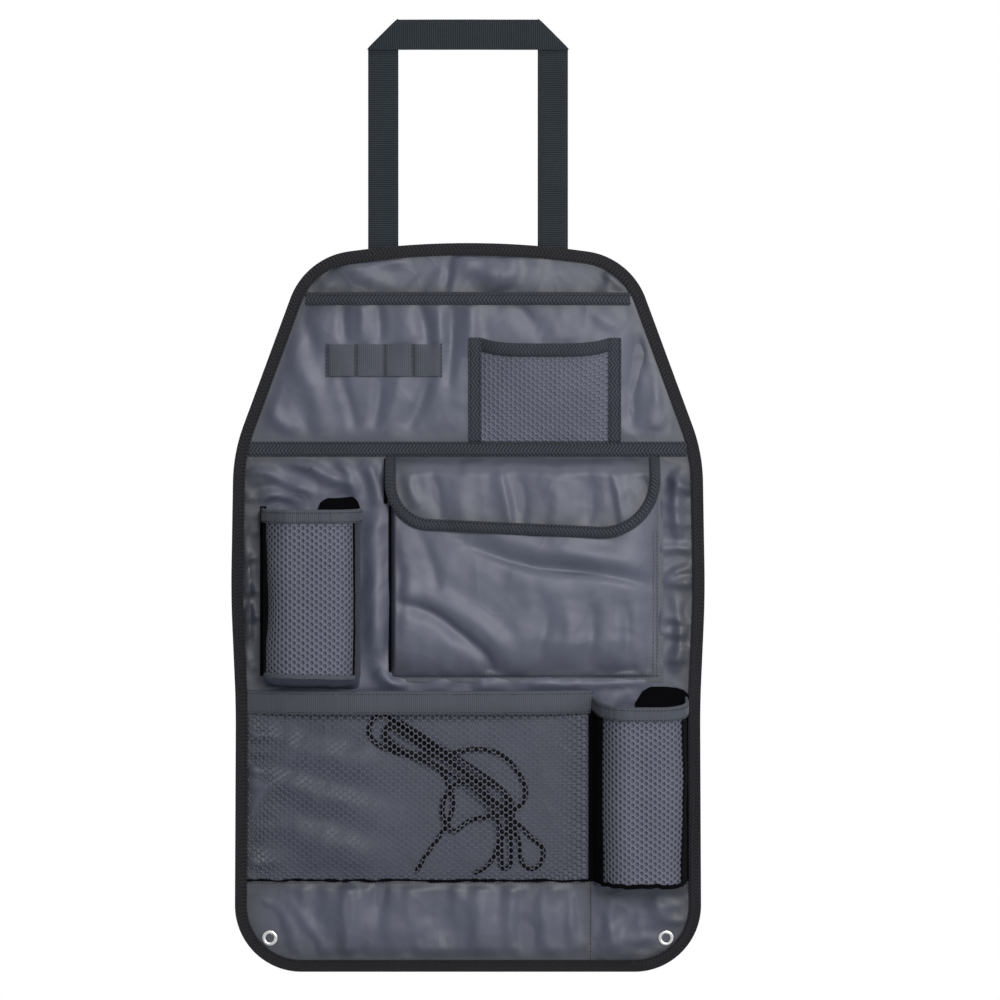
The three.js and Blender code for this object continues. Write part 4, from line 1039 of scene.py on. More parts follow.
def flap_pocket_bag():
    edge = BAG_SEAM + BAG_RUN + 2
    xs = dense(BAG_LEFT - BAG_SEAM, BAG_RIGHT + BAG_SEAM, CLOTH_STEP, edge, BEND_STEP)
    low = rows_between(BAG_BOTTOM - BAG_SEAM, BAG_BOTTOM + BAG_RUN + 2, BEND_STEP)
    ys = np.concatenate([low[:-1], rows_between(BAG_BOTTOM + BAG_RUN + 2, BAG_TOP, CLOTH_STEP)])
    x, y = np.meshgrid(xs, ys)
    rear = stack(x, y, bag_z(x, y))
    # Painted shade: the bag darker towards its left, right and bottom seams
    shaded = 0.8 * near_seam(x - BAG_LEFT, (BAG_RIGHT - x) * 1.4, y - BAG_BOTTOM)
    return solid("flap_pocket_cloth", rear + normals(rear) * CLOTH, rear, seam=shaded)


def flap_edge_points():
    """Free edge of the flap from its left hinge end to the right one."""
    corners = [(FLAP_RIGHT, FLAP_START, 0.01), (FLAP_LEFT, FLAP_START, 0.01)] + FLAP_CORNERS
    loop = loop_of(corners, 0, 1.0)
    return resample(loop_part(loop, (FLAP_LEFT, FLAP_START), (FLAP_RIGHT, FLAP_START)), 420)


def flap():
    edge = flap_edge_points()
    u = np.linspace(0, 1, 190)
    xs = FLAP_LEFT + (FLAP_RIGHT - FLAP_LEFT) * (0.25 - 0.25 * np.cos(np.pi * u) + u * 0.5)
    low_edge = edge[(edge[:, 1] < FLAP_START - 1)]
    order = np.argsort(low_edge[:, 0], kind="stable")
    low = np.interp(xs, low_edge[order, 0], low_edge[order, 1])
    v = np.linspace(0, 1, 56)[:, None]
    y = low[None] * (1 - v) + (MIDDLE_SEAM - 0.2) * v
    x = np.broadcast_to(xs[None], y.shape)
    z = flap_z(x, y)
    free = y - low[None], x - FLAP_LEFT, FLAP_RIGHT - x
    # Painted shade: the whole flap a little darker, and more towards its hinge and its bound edges
    shaded = 0.1 + 0.85 * near_seam(FLAP_START - y, *(distance - FLAP_TAPE_WIDTH for distance in free))
    return ply("flap_cloth", x, y, z, seam=shaded)


def flap_rim():
    """Free edge of the flap below its seam, and the direction into the flap at each point."""
    path = flap_edge_points()
    path = path[path[:, 1] < FLAP_START - 0.5]
    tangent = np.gradient(path, axis=0)
    tangent /= np.linalg.norm(tangent, axis=1, keepdims=True)
    return path, np.stack([-tangent[:, 1], tangent[:, 0]], axis=1)


def flap_binding():
    path, inward = flap_rim()
    s = np.arange(len(path)) * 1.0
    wave = 0.25 * np.abs(ripple(s, 8, 101))
    high, width = CLOTH + GAP, FLAP_TAPE_WIDTH - TAPE
    outer = [
        (width, -GAP - TAPE * 0.6, 0), (3, -GAP - TAPE, 0), (0, -GAP - TAPE, 0),
        (-GAP - TAPE, CLOTH / 2, 0.4), (0, high + TAPE * 0.8, 0.6), (3, high + TAPE, 1),
        (6, high + TAPE, 0.8), (width - 0.5, high + TAPE * 0.9, 0.3), (width, high + 0.2, 0),
    ]
    inner = [
        (width, -GAP), (3, -GAP), (0, -GAP), (-GAP, CLOTH / 2), (0, high), (3, high), (6, high),
        (width - 0.5, high), (width, high),
    ]

    def row(inset, dz, grow):
        spot = path + inward * inset
        return stack(spot[:, 0], spot[:, 1], flap_z(spot[:, 0], spot[:, 1]) + dz + grow * wave)

    front = np.array([row(*line) for line in outer])
    back = np.array([row(inset, dz, 0) for inset, dz in inner])
    return solid("flap_binding_tape", front[:, ::-1], back[:, ::-1])


# Bottle holders

HOLDER_DEPTH = 43.1
HOLDER_BEND = 26
MOUTH_SHADOW_DEPTH = 18
SIDE_SEAM = 1.6
LEFT_HOLDER = dict(
    name="left", left=-166, right=-89, top=83, bottom=-55, band=10.5, dip=1.5, drop=10,
    foot=3.0, lean=1.5, slant=-3, net=(-165.5, -92.0), seed=111,
    shadow_outline=[(-124, -3), (-121, 5), (-116, 8), (-95, 9), (-91, 5), (-89, 0)],
    # the black left side is painted shadow
    hem="band", hem_wave=0.2, sides={"left": "black", "right": "tape"},
)
RIGHT_HOLDER = dict(
    name="right", left=106.5, right=179.4, top=-72, bottom=-225, band=11, dip=7, drop=3,
    foot=3.0, lean=5.0, slant=0, net=(109.5, 175.5), seed=131,
    shadow_outline=[(138, -6), (144, 4), (150, 7), (172, 7), (178, 4), (182, 0)],
    # the black hem and black sides are painted shadow
    hem="black", hem_wave=0.9, sides={"left": "black", "right": "black"},
)


def holder_path(holder, count=400):
    """Section of a holder from its left foot round the front to its right foot, as x and z."""
    left, right = holder["left"], holder["right"]
    corners = [
        (left - holder["foot"], 1.6, 0.01), (right, 1.6, 0.01),
        (right, HOLDER_DEPTH, HOLDER_BEND - 4), (left + holder["lean"], HOLDER_DEPTH, HOLDER_BEND),
    ]
    loop = loop_of(corners, 0, 0.5)
    path = resample(loop_part(loop, corners[1][:2], corners[0][:2])[::-1], count)
    across = np.clip((path[:, 0] - left) / (right - left), 0, 1)
    path[:, 1] -= 1.2 - 1.2 * np.sin(np.pi * across) * smooth((path[:, 1] - 30) / 12)
    return path


def holder_lines(holder):
    """Arc positions of the net's two side seams on the section, and the section's length."""
    path = holder_path(holder)
    steps = np.concatenate([[0], np.cumsum(np.linalg.norm(np.diff(path, axis=0), axis=1))])
    half = len(path) // 2
    first = float(np.interp(holder["net"][0], path[:half, 0], steps[:half]))
    deep = path[half:, 1] > 12
    last = float(np.interp(-holder["net"][1], -path[half:, 0][deep][::-1], steps[half:][deep][::-1]))
    return first, last, float(steps[-1]), path, steps


def holder_point(holder, s, y, grow=0.0):
    first, last, total, path, steps = holder["lines"]
    x = np.interp(s, steps, path[:, 0])
    z = np.interp(s, steps, path[:, 1])
    d = 0.5
    dx = np.interp(s + d, steps, path[:, 0]) - np.interp(s - d, steps, path[:, 0])
    dz = np.interp(s + d, steps, path[:, 1]) - np.interp(s - d, steps, path[:, 1])
    length = np.maximum(np.hypot(dx, dz), 1e-9)
    nx, nz = -dz / length, dx / length
    middle = smooth((s - 8) / 20) * smooth((total - 8 - s) / 20)
    dent = 0.9 * rumple(s, y, 34, holder["seed"]) + folded(s, y, holder["folds"])
    push = grow + middle * (dent - 0.8)
    return stack(x + nx * push, y, z + nz * push)


def holder_rim(holder, s):
    first, last, total, path, steps = holder["lines"]
    z = np.interp(s, steps, path[:, 1])
    return holder["top"] - TAPE - GAP - holder["dip"] * z / HOLDER_DEPTH


def holder_foot(holder, s):
    total = holder["lines"][2]
    return holder["bottom"] + holder["slant"] * (s / total - 0.5)


def holder_grid(s, t, low, high):
    """Arc positions and heights of a grid between two curves round the section."""
    y = low[None] * (1 - t) + high[None] * t
    return np.broadcast_to(s[None], y.shape), y


def side_shade(t):
    """Painted shade on a holder's curved front: darker knit towards its side seams, at 0 and 1."""
    return 0.75 * np.exp(-((t / 0.24) ** 2)) + 0.45 * np.exp(-(((1 - t) / 0.12) ** 2))


def holder_net(holder):
    first, last, total, path, steps = holder["lines"]
    width = last - first
    height = holder["top"] - holder["band"] - holder["bottom"]

    def surface(u, v):
        s = (first + last) / 2 + u
        top = holder_rim(holder, s) - holder["band"] + TUCK
        low = holder_foot(holder, s)
        y = low + (v + height / 2) / height * (top - low)
        return holder_point(holder, s, y)

    # Painted shade: the knit darker towards its side seams
    near = lambda u, v: side_shade((u + width / 2) / width)
    return net_piece(f"{holder['name']}_holder_knit", width, height, HOLDER_HOLE, surface, seam=near)


def holder_gusset(holder, side):
    """Side of a holder, from its seam on the panel to the net; where its look is black, the black is painted
    shadow.
    """
    first, last, total, path, steps = holder["lines"]
    span = (0.3, first + 1.2) if side == "left" else (last - 1.2, total - 0.3)
    s = rows_between(span[0], span[1], TAPE_STEP)
    t = rows_between(0, 1, 0.02)[:, None]
    s, y = holder_grid(s, t, holder_foot(holder, s), holder_rim(holder, s))
    name = f"{holder['name']}_holder_{side}_gusset"
    return solid(name, holder_point(holder, s, y, 0.45), holder_point(holder, s, y, -0.15))


def holder_seam(holder, side):
    """Thin black tape over the net's side seam."""
    first, last = holder["lines"][:2]
    middle = first if side == "left" else last
    s = np.linspace(middle - SIDE_SEAM, middle + SIDE_SEAM, 7)
    t = rows_between(0, 1, 0.012)[:, None]
    s, y = holder_grid(s, t, holder_foot(holder, s), holder_rim(holder, s) - holder["band"])
    puff = 0.5 * (1 - ((s - middle) / SIDE_SEAM) ** 2) + 0.2 * ripple(y, 5, holder["seed"] + 7)
    front, back = holder_point(holder, s, y, 0.5 + puff), holder_point(holder, s, y, 0.45)
    return solid(f"{holder['name']}_holder_{side}_seam", front, back)


def holder_band(holder):
    first, last, total, path, steps = holder["lines"]
    s = np.linspace(0.5, total - 0.5, 230)
    width = holder["band"]
    gather = 0.35 * ripple(s, 5, holder["seed"] + 2) + 0.2 * ripple(s, 2.2, holder["seed"] + 3)
    section = [
        (-width, 0.6, 0), (-width + 0.4, 1.6, 0.3), (-width * 0.75, 1.9, 1), (-width / 2, 1.9, 1),
        (-width * 0.25, 1.9, 1), (-0.6, 1.8, 0.4), (0.6, 1.3, 0.2), (0.9, 0.2, 0), (0.5, -0.6, 0),
        (-2, -0.8, 0), (-width * 0.8, -0.8, 0),
    ]
    inner = [
        (-width, 0.6), (-width + 0.4, 0.7), (-width * 0.75, 0.8), (-width / 2, 0.8), (-width * 0.25, 0.8),
        (-0.6, 0.8), (0, 0.5), (0.2, 0.1), (0, -0.2), (-2, -0.3), (-width * 0.8, -0.3),
    ]
    rim = holder_rim(holder, s)
    front = np.array([holder_point(holder, s, rim + dy, grow + pull * gather) for dy, grow, pull in section])
    back = np.array([holder_point(holder, s, rim + dy, grow) for dy, grow in inner])
    return solid(f"{holder['name']}_holder_elastic", front, back)


def holder_base(holder):
    """Cloth floor: from the net's lower edge back and down to its seam on the panel."""
    first, last, total, path, steps = holder["lines"]
    s = np.linspace(0, total, 150)
    t = np.linspace(0, 1, 26)[:, None]
    low = holder_foot(holder, s)
    rim = holder_point(holder, s, low)
    seam_x = np.linspace(holder["left"] - holder["foot"], holder["right"], len(s))
    seam = stack(seam_x, low - holder["drop"] - GAP - CLOTH, LAYER_ONE + 0 * s)
    grid = rim[None] * (1 - t[..., None]) + seam[None] * t[..., None]
    bulge = np.sin(np.pi * t) * (1.6 + 1.2 * ripple(s, 14, holder["seed"] + 4))[None]
    grid[..., 1] -= bulge * 0.9
    grid = grid[::-1]
    return solid(f"{holder['name']}_holder_floor", grid, grid - normals(grid) * CLOTH)


def holder_hem(holder):
    """Tape over the lower edge of the net, where the floor is sewn on."""
    first, last = holder["lines"][:2]
    s = np.linspace(first - 1, last + 1, 130)
    low = holder_foot(holder, s) + holder["hem_wave"] * ripple(s, 6, holder["seed"] + 8)
    outer = [(-1.4, 0.45), (-1.2, 1.1), (0.4, 1.4), (1.8, 1.2), (2.2, 0.5)]
    inner = [(-1.3, 0.4), (-1.0, 0.4), (0.4, 0.4), (1.7, 0.4), (2.1, 0.4)]
    rows = lambda section: np.array([holder_point(holder, s, low + dy, grow) for dy, grow in section])
    return solid(f"{holder['name']}_holder_hem", rows(outer), rows(inner))


def holder_lining(holder):
    """Black sheet of painted shadow at the holder's mouth, standing up behind the band."""
    line = np.array(holder["shadow_outline"], dtype=float)
    x = rows_between(line[0, 0], line[-1, 0], 1.4)[None, :]
    t = rows_between(0, 1, 0.05)[:, None]
    low = holder["top"] - MOUTH_SHADOW_DEPTH
    high = holder["top"] + np.interp(x, line[:, 0], line[:, 1]) + 0.8 * ripple(x, 9, holder["seed"] + 9)
    y = low + t * (high - low)
    z = panel_z(x, y) + CLOTH + GAP + 1.2 + 1.4 * noise(x, y, 12, holder["seed"] + 10) * t
    return ply(f"{holder['name']}_holder_lining", x, y, z)


def holder_backing(holder):
    """Plain inner face of the holder's knit, under its open outer face."""
    first, last = holder["lines"][:2]
    s = np.linspace(first, last, 90)
    t = rows_between(0, 1, 0.015)[:, None]
    s, y = holder_grid(s, t, holder_foot(holder, s), holder_rim(holder, s) - holder["band"] + TUCK)
    # Painted shade: the backing darker towards the side seams
    shaded = side_shade((s - first) / (last - first))
    outer, inner = holder_point(holder, s, y, -0.7), holder_point(holder, s, y, -1.0)
    return solid(f"{holder['name']}_holder_backing", outer, inner, seam=shaded)


def floor_seam():
    """Puckered seam at the foot of the lower pocket, black as painted shadow in its crease."""
    xs = rows_between(-float(half_width(CLEAR_EDGE, LOWER_FLOOR)), LOWER_RIGHT, 1.4)
    ys = np.linspace(-0.9, 0.9, 5)
    x, y = np.meshgrid(xs, ys)
    y = y * (1 + 0.5 * ripple(x, 5, 151)) + LOWER_FLOOR + 0.6 + 0.7 * ripple(x, 13, 152)
    z = LAYER_TWO + 0.35 + 0.5 * np.abs(ripple(x, 6, 153))
    return ply("lower_pocket_floor_seam", x, y, z, 0.6)


def holder_flange(name, left, right, low, high, height, seed):
    """Flat black strip of painted shadow on the panel, beside a holder or the flap."""
    xs, ys = rows_between(left, right, 1.0), rows_between(low, high, 2.0)
    face = above(panel_z, height) if height < LAYER_TWO else level(height)
    return flat_tape(name, xs, ys, face, seed, 0.5)


def bag_welt():
    """Black strip of painted shadow along the pocket's left side, where it meets the panel."""
    xs, ys = np.linspace(BAG_LEFT - 2.2, BAG_LEFT - 0.2, 5), rows_between(BAG_BOTTOM + 4, 84, 2.0)
    return flat_tape("flap_pocket_welt", xs, ys, level(LAYER_TWO + 0.4), 99, 0.6)


LEFT_HOLDER["folds"] = [
    ([(20, 60), (30, 20), (26, -30)], 9, -1.8),
    ([(95, 60), (102, 10), (98, -40)], 8, 1.6),
    ([(60, 70), (66, 30), (60, 0)], 10, -1.2),
]
RIGHT_HOLDER["folds"] = [
    ([(60, -90), (66, -140), (60, -200)], 10, -1.6),
    ([(100, -100), (96, -150), (102, -210)], 8, 1.6),
]
for holder in (LEFT_HOLDER, RIGHT_HOLDER):
    holder["lines"] = holder_lines(holder)


# Eyelets and cord

def lathe(name, profile, centre, segments=72):
    profile = np.array(profile, dtype=float)
    angle = np.linspace(0, 2 * np.pi, segments, endpoint=False)
    ring = len(profile)
    verts = []
    for a in angle:
        for radius, height in profile:
            verts.append((centre[0] + radius * math.cos(a), centre[1] + radius * math.sin(a), height))
    faces = []
    for i in range(segments):
        for j in range(ring):
            a, b = i * ring + j, i * ring + (j + 1) % ring
            c, d = ((i + 1) % segments) * ring + (j + 1) % ring, ((i + 1) % segments) * ring + j
            faces.append([a, d, c, b])
    return mesh_piece(name, out(np.array(verts)), faces, sharp=60)


def round_profile(inner, outer, low, high, corner, steps=6):
    """Closed profile of radius and height, counter-clockwise, with rounded corners."""
    corners = [(inner, low, corner), (outer, low, corner), (outer, high, corner), (inner, high, corner)]
    points = []
    for arc in arcs_of(corners, 0, corner * math.pi / 2 / steps):
        points.extend(arc)
    return points


def eyelet(side, cloth_top):
    centre = (side * EYELET[0], EYELET[1])
    name = "left" if side < 0 else "right"
    seat = cloth_top + GAP
    barrel = [(3.3, -2.1), (4.9, -2.1), (5.2, -1.6), (5.0, -1.25), (3.9, -1.2), (3.9, seat)]
    flange = [
        (6.2, 0), (6.5, 0.15), (6.45, 0.45), (6.0, 0.8), (5.2, 1.05), (4.5, 1.05), (3.8, 0.8), (3.4, 0.35),
        (3.3, -0.2),
    ]
    profile = barrel + [(radius, seat + lift) for radius, lift in flange]
    ring = lathe(f"{name}_eyelet_ring", profile, centre)
    washer = lathe(f"{name}_eyelet_back", round_profile(4.2, 6.5, -0.9, -0.3, 0.2), centre)
    return ring, washer


CORD_ROUTE = [
    (-42.5, -217.5, 2.8), (-35.5, -205.3, 3), (-24.5, -189.8, 3), (-16.4, -176.8, 3), (-12.3, -162.1, 3),
    (-15.2, -147.1, 3), (-24.5, -132, 3), (-39.6, -123.9, 3), (-60, -118.6, 3.4), (-75, -111.6, 3.9),
    (-81.5, -102.3, 3.9), (-78.3, -92.1, 3.5), (-69.3, -87.2, 3), (-57.9, -94.5, 3), (-40.8, -106.7, 3),
    (-21.3, -119.8, 3), (3.2, -140.1, 3), (21.5, -158.1, 3), (37.8, -174.4, 3), (50, -186.6, 3),
    (62, -199, 3), (60, -210.2, 3), (52, -215, 3), (44.5, -209, 3), (42, -192, 3.5),
    (34, -172, 5), (15.4, -152.4, 6.6), (-0.9, -136.1, 6.6), (-17.2, -125.5, 6.6), (-36.7, -113.3, 6.6),
    (-53, -103.5, 6.6), (-63.6, -97.8, 6.6), (-69.3, -105.1, 6.6), (-59.6, -114.9, 7.5), (-37.6, -119.8, 9.6),
    (-15.2, -119, 10), (7.2, -115.7, 7), (27.6, -120.6, 5), (43.1, -137.7, 5), (48, -154, 5.5),
    (39, -165.4, 7.5), (19.5, -170.3, 9.8), (1.5, -174.4, 8), (-11.5, -183.3, 6.6), (-20.5, -170.3, 6.6),
    (-17.2, -152.4, 7.5), (-0.9, -141, 10), (18.6, -144.2, 10), (30, -151.6, 10), (33.5, -165.8, 10.5),
    (35, -182, 9), (36, -200, 7), (34, -213, 4.5), (29, -214, 4.5), (27.5, -200, 7), (27, -183, 9),
    (22, -167, 10.5), (8, -151, 10.5), (-8, -139, 10.5), (-26, -129, 10), (-46, -120.5, 9), (-61, -111, 8.5),
    (-68, -101.5, 8.5), (-60, -93, 8), (-45, -100, 8.5), (-28, -110.5, 9.5),
    (-8, -123, 10.5), (10, -135, 10.5),
    (25, -146, 10.5), (35, -157, 10.5), (37, -170, 10.5), (32, -182.5, 9), (26, -192.3, 6.4),
    (21.5, -205.3, 3.5), (13.1, -214.4, 3), (5.2, -218.4, 2.8),
]


def catmull(points, per=8):
    """Centripetal curve through the points."""
    points = np.asarray(points, dtype=float)
    ends = [2 * points[0] - points[1], *points, 2 * points[-1] - points[-2]]
    result = []
    for a, b, c, d in zip(ends[:-3], ends[1:-2], ends[2:-1], ends[3:]):
        knots = [0.0]
        for p, q in ((a, b), (b, c), (c, d)):
            knots.append(knots[-1] + math.sqrt(np.linalg.norm(q - p)))
        t0, t1, t2, t3 = knots
        for t in np.linspace(t1, t2, per, endpoint=False):
            a1 = (t1 - t) / (t1 - t0) * a + (t - t0) / (t1 - t0) * b
            a2 = (t2 - t) / (t2 - t1) * b + (t - t1) / (t2 - t1) * c
            a3 = (t3 - t) / (t3 - t2) * c + (t - t2) / (t3 - t2) * d
            b1 = (t2 - t) / (t2 - t0) * a1 + (t - t0) / (t2 - t0) * a2
            b2 = (t3 - t) / (t3 - t1) * a2 + (t - t1) / (t3 - t1) * a3
            result.append((t2 - t) / (t2 - t1) * b1 + (t - t1) / (t2 - t1) * b2)
    result.append(points[-1])
    return np.array(result)


def elastic_cord():
    points = out(catmull(CORD_ROUTE))
    curve = bpy.data.curves.new("elastic_cord_line", "CURVE")
    curve.dimensions = "3D"
    spline = curve.splines.new("POLY")
    spline.points.add(len(points) - 1)
    spline.points.foreach_set("co", np.concatenate([points, np.ones((len(points), 1))], axis=1).ravel())
    curve.bevel_depth = CORD_RADIUS * MM
    curve.bevel_resolution = 5
    curve.use_fill_caps = True
    piece = link("elastic_cord_line", curve)
    return piece


# Materials

class Graph:
    """Short hand for making and joining shader nodes."""

    def __init__(self, tree):
        self.tree = tree

    def node(self, kind, inputs=(), **settings):
        node = self.tree.nodes.new(kind)
        for key, value in settings.items():
            setattr(node, key, value)
        for key, value in dict(inputs).items():
            self.feed(node.inputs[key], value)
        return node

    def feed(self, socket, value):
        if isinstance(value, bpy.types.NodeSocket):
            self.tree.links.new(value, socket)
        else:
            socket.default_value = value

    def math(self, operation, a, b=0.0, c=0.0):
        return self.node("ShaderNodeMath", {0: a, 1: b, 2: c}, operation=operation).outputs[0]

    def times(self, a, b):
        return self.math("MULTIPLY", a, b)

    def plus(self, a, b):
        return self.math("ADD", a, b)

    def minus(self, a, b):
        return self.math("SUBTRACT", a, b)

    def mix(self, factor, a, b):
        node = self.node("ShaderNodeMix", {"Factor": factor}, data_type="RGBA")
        self.feed(node.inputs[6], a)
        self.feed(node.inputs[7], b)
        return node.outputs[2]

    def group(self, tree, inputs):
        node = self.tree.nodes.new("ShaderNodeGroup")
        node.node_tree = tree
        for key, value in inputs.items():
            self.feed(node.inputs[key], value)
        return node


def shader_group(name, inputs, outputs):
    tree = bpy.data.node_groups.new(name, "ShaderNodeTree")
    for label, kind, value in inputs:
        socket = tree.interface.new_socket(label, in_out="INPUT", socket_type=kind)
        socket.default_value = value
    for label, kind in outputs:
        tree.interface.new_socket(label, in_out="OUTPUT", socket_type=kind)
    graph = Graph(tree)
    return tree, graph, graph.node("NodeGroupInput").outputs, graph.node("NodeGroupOutput")


FLOAT, COLOR = "NodeSocketFloat", "NodeSocketColor"


def flat_place(g):
    """Place on the flat map, across and up."""
    flat = g.node("ShaderNodeUVMap", uv_map="flat").outputs[0]
    return g.node("ShaderNodeSeparateXYZ", {0: flat}).outputs[:2]


def weave_group():
    """Plain weave on the flat map: over-and-under threads and their height."""
    inputs = [("Threads per metre", FLOAT, 1400.0), ("Depth", FLOAT, 1.0)]
    tree, g, given, result = shader_group("plain_weave", inputs, [("Height", FLOAT), ("Thread", FLOAT)])
    u, v = (g.times(axis, given["Threads per metre"]) for axis in flat_place(g))
    wave = lambda t: g.math("ABSOLUTE", g.math("SINE", g.times(t, math.pi)))
    over = g.math("SINE", g.times(u, math.pi))
    under = g.math("SINE", g.times(v, math.pi))
    crossing = g.times(over, under)
    warp = g.times(wave(u), g.plus(0.6, g.times(crossing, 0.4)))
    weft = g.times(wave(v), g.minus(0.6, g.times(crossing, 0.4)))
    height = g.math("MAXIMUM", warp, weft)
    g.feed(result.inputs["Height"], g.times(height, given["Depth"]))
    g.feed(result.inputs["Thread"], height)
    return tree


def rib_group():
    """Ribs of a tape or webbing, zigzag where the weave has a slant."""
    tree, g, given, result = shader_group(
        "tape_ribs",
        [("Ribs per metre", FLOAT, 900.0), ("Along", FLOAT, 0.0), ("Slant", FLOAT, 0.0),
         ("Zigzag", FLOAT, 0.0026)],
        [("Height", FLOAT), ("Thread", FLOAT)])
    u, v = flat_place(g)
    keep = g.minus(1.0, given["Along"])
    blend = lambda a, b: g.plus(g.times(a, keep), g.times(b, given["Along"]))
    line, across = blend(u, v), blend(v, u)
    lean = g.times(g.math("PINGPONG", across, given["Zigzag"]), given["Slant"])
    t = g.times(g.plus(line, lean), given["Ribs per metre"])
    twist = g.times(g.math("SINE", g.times(across, 5200.0)), 0.12)
    rib = g.math("ABSOLUTE", g.math("SINE", g.times(g.plus(t, twist), math.pi)))
    g.feed(result.inputs["Height"], rib)
    g.feed(result.inputs["Thread"], rib)
    return tree


def crumple_group():
    """Handled cloth: broad slack, creases across it and fine puckers, as a height in millimetres."""
    inputs = [("Slack", FLOAT, 1.5), ("Creases", FLOAT, 0.6), ("Puckers", FLOAT, 0.1), ("Size", FLOAT, 24.0)]
    tree, g, given, result = shader_group("cloth_crumples", inputs, [("Height", FLOAT)])
    where = g.node("ShaderNodeTexCoord").outputs["Object"]

    def cloud(scale, detail, twist):
        inputs = {"Vector": where, "Scale": scale, "Detail": detail, "Roughness": 0.55, "Distortion": twist}
        return g.node("ShaderNodeTexNoise", inputs).outputs["Fac"]

    slack = g.times(cloud(given["Size"], 2.0, 0.2), given["Slack"])
    sway = cloud(g.times(given["Size"], 0.8), 1.0, 0.4)
    near = g.minus(1.0, g.math("ABSOLUTE", g.math("MULTIPLY_ADD", sway, 5.0, -2.5)))
    ridge = g.math("POWER", g.math("MAXIMUM", near, 0.0), 4.0)
    crease = g.times(ridge, given["Creases"])
    pucker = g.times(cloud(190.0, 3.0, 0.0), given["Puckers"])
    g.feed(result.inputs["Height"], g.plus(slack, g.plus(crease, pucker)))
    return tree


def tone_group():
    """Uneven dye and handling: a colour between dark and light, with a roughness that varies with it, and
    painted shade from the seam attribute that darkens the colour.
    """
    tree, g, given, result = shader_group(
        "cloth_tone_and_painted_shade",
        [("Dark", COLOR, (0.05, 0.05, 0.06, 1)), ("Light", COLOR, (0.1, 0.1, 0.12, 1)),
         ("Thread", FLOAT, 1.0),
         ("Thread contrast", FLOAT, 0.2), ("Roughness", FLOAT, 0.5), ("Spots", FLOAT, 22.0)],
        [("Color", COLOR), ("Roughness", FLOAT)])
    where = g.node("ShaderNodeTexCoord").outputs["Object"]
    cloud = g.node("ShaderNodeTexNoise", {
        "Vector": where, "Scale": given["Spots"], "Detail": 4.0, "Roughness": 0.6})
    grain = g.node("ShaderNodeTexNoise", {"Vector": where, "Scale": 900.0, "Detail": 2.0})
    blend = g.plus(g.times(cloud.outputs["Fac"], 0.75), g.times(grain.outputs["Fac"], 0.25))
    gaps = g.minus(1.0, given["Thread"])
    threads = g.minus(1.0, g.times(given["Thread contrast"], gaps))
    # Painted shade: the seam attribute darkens the colour by up to 62 percent
    seam = g.node("ShaderNodeAttribute", attribute_name="seam").outputs["Fac"]
    shade = g.times(threads, g.math("MULTIPLY_ADD", seam, -0.62, 1.0))
    colour = g.mix(blend, given["Dark"], given["Light"])
    dimmed = g.node("ShaderNodeMix", {"Factor": 1.0}, data_type="RGBA", blend_type="MULTIPLY")
    g.feed(dimmed.inputs[6], colour)
    grey = g.node("ShaderNodeCombineColor", {"Red": shade, "Green": shade, "Blue": shade})
    g.feed(dimmed.inputs[7], grey.outputs[0])
    g.feed(result.inputs["Color"], dimmed.outputs[2])
    rough = g.plus(given["Roughness"], g.times(g.minus(cloud.outputs["Fac"], 0.5), 0.16))
    g.feed(result.inputs["Roughness"], rough)
    return tree


def fabric(name, dark, light, texture, settings, finish, crumples):
    """Cloth of two tones, with threads from texture and creases from the crumple group."""
    material = bpy.data.materials.new(name)
    material.use_nodes = True
    tree = material.node_tree
    g = Graph(tree)
    surface = tree.nodes["Principled BSDF"]
    relief = g.group(texture, settings)
    tone = g.group(TONE, {"Dark": (*dark, 1), "Light": (*light, 1), "Thread": relief.outputs["Thread"],
                          "Thread contrast": finish["contrast"], "Roughness": finish["roughness"]})
    g.feed(surface.inputs["Base Color"], tone.outputs["Color"])
    g.feed(surface.inputs["Roughness"], tone.outputs["Roughness"])
    folds = g.group(CRUMPLES, dict(zip(("Slack", "Creases", "Puckers", "Size"), crumples)))
    soft = g.node("ShaderNodeBump", {"Strength": 1.0, "Distance": MM, "Height": folds.outputs["Height"]})
    fine = g.node("ShaderNodeBump", {
        "Strength": 1.0, "Distance": finish["relief"] * MM,
        "Height": relief.outputs["Height"], "Normal": soft.outputs[0]})
    g.feed(surface.inputs["Normal"], fine.outputs[0])
    surface.inputs["Sheen Weight"].default_value = finish["sheen"]
    surface.inputs["Sheen Roughness"].default_value = 0.4
    surface.inputs["Specular IOR Level"].default_value = finish["specular"]
    return material


def nickel():
    material = bpy.data.materials.new("nickel_plate")
    material.use_nodes = True
    g = Graph(material.node_tree)
    surface = material.node_tree.nodes["Principled BSDF"]
    where = g.node("ShaderNodeTexCoord").outputs["Object"]
    marks = g.node("ShaderNodeTexNoise", {"Vector": where, "Scale": 700.0, "Detail": 4.0})
    span = g.node("ShaderNodeMapRange", {"Value": marks.outputs["Fac"], "To Min": 0.16, "To Max": 0.34})
    g.feed(surface.inputs["Roughness"], span.outputs[0])
    tint = g.mix(marks.outputs["Fac"], (0.42, 0.42, 0.44, 1), (0.6, 0.59, 0.58, 1))
    g.feed(surface.inputs["Base Color"], tint)
    surface.inputs["Metallic"].default_value = 1.0
    bump = g.node("ShaderNodeBump", {"Strength": 0.4, "Distance": 0.00002, "Height": marks.outputs["Fac"]})
    g.feed(surface.inputs["Normal"], bump.outputs[0])
    return material


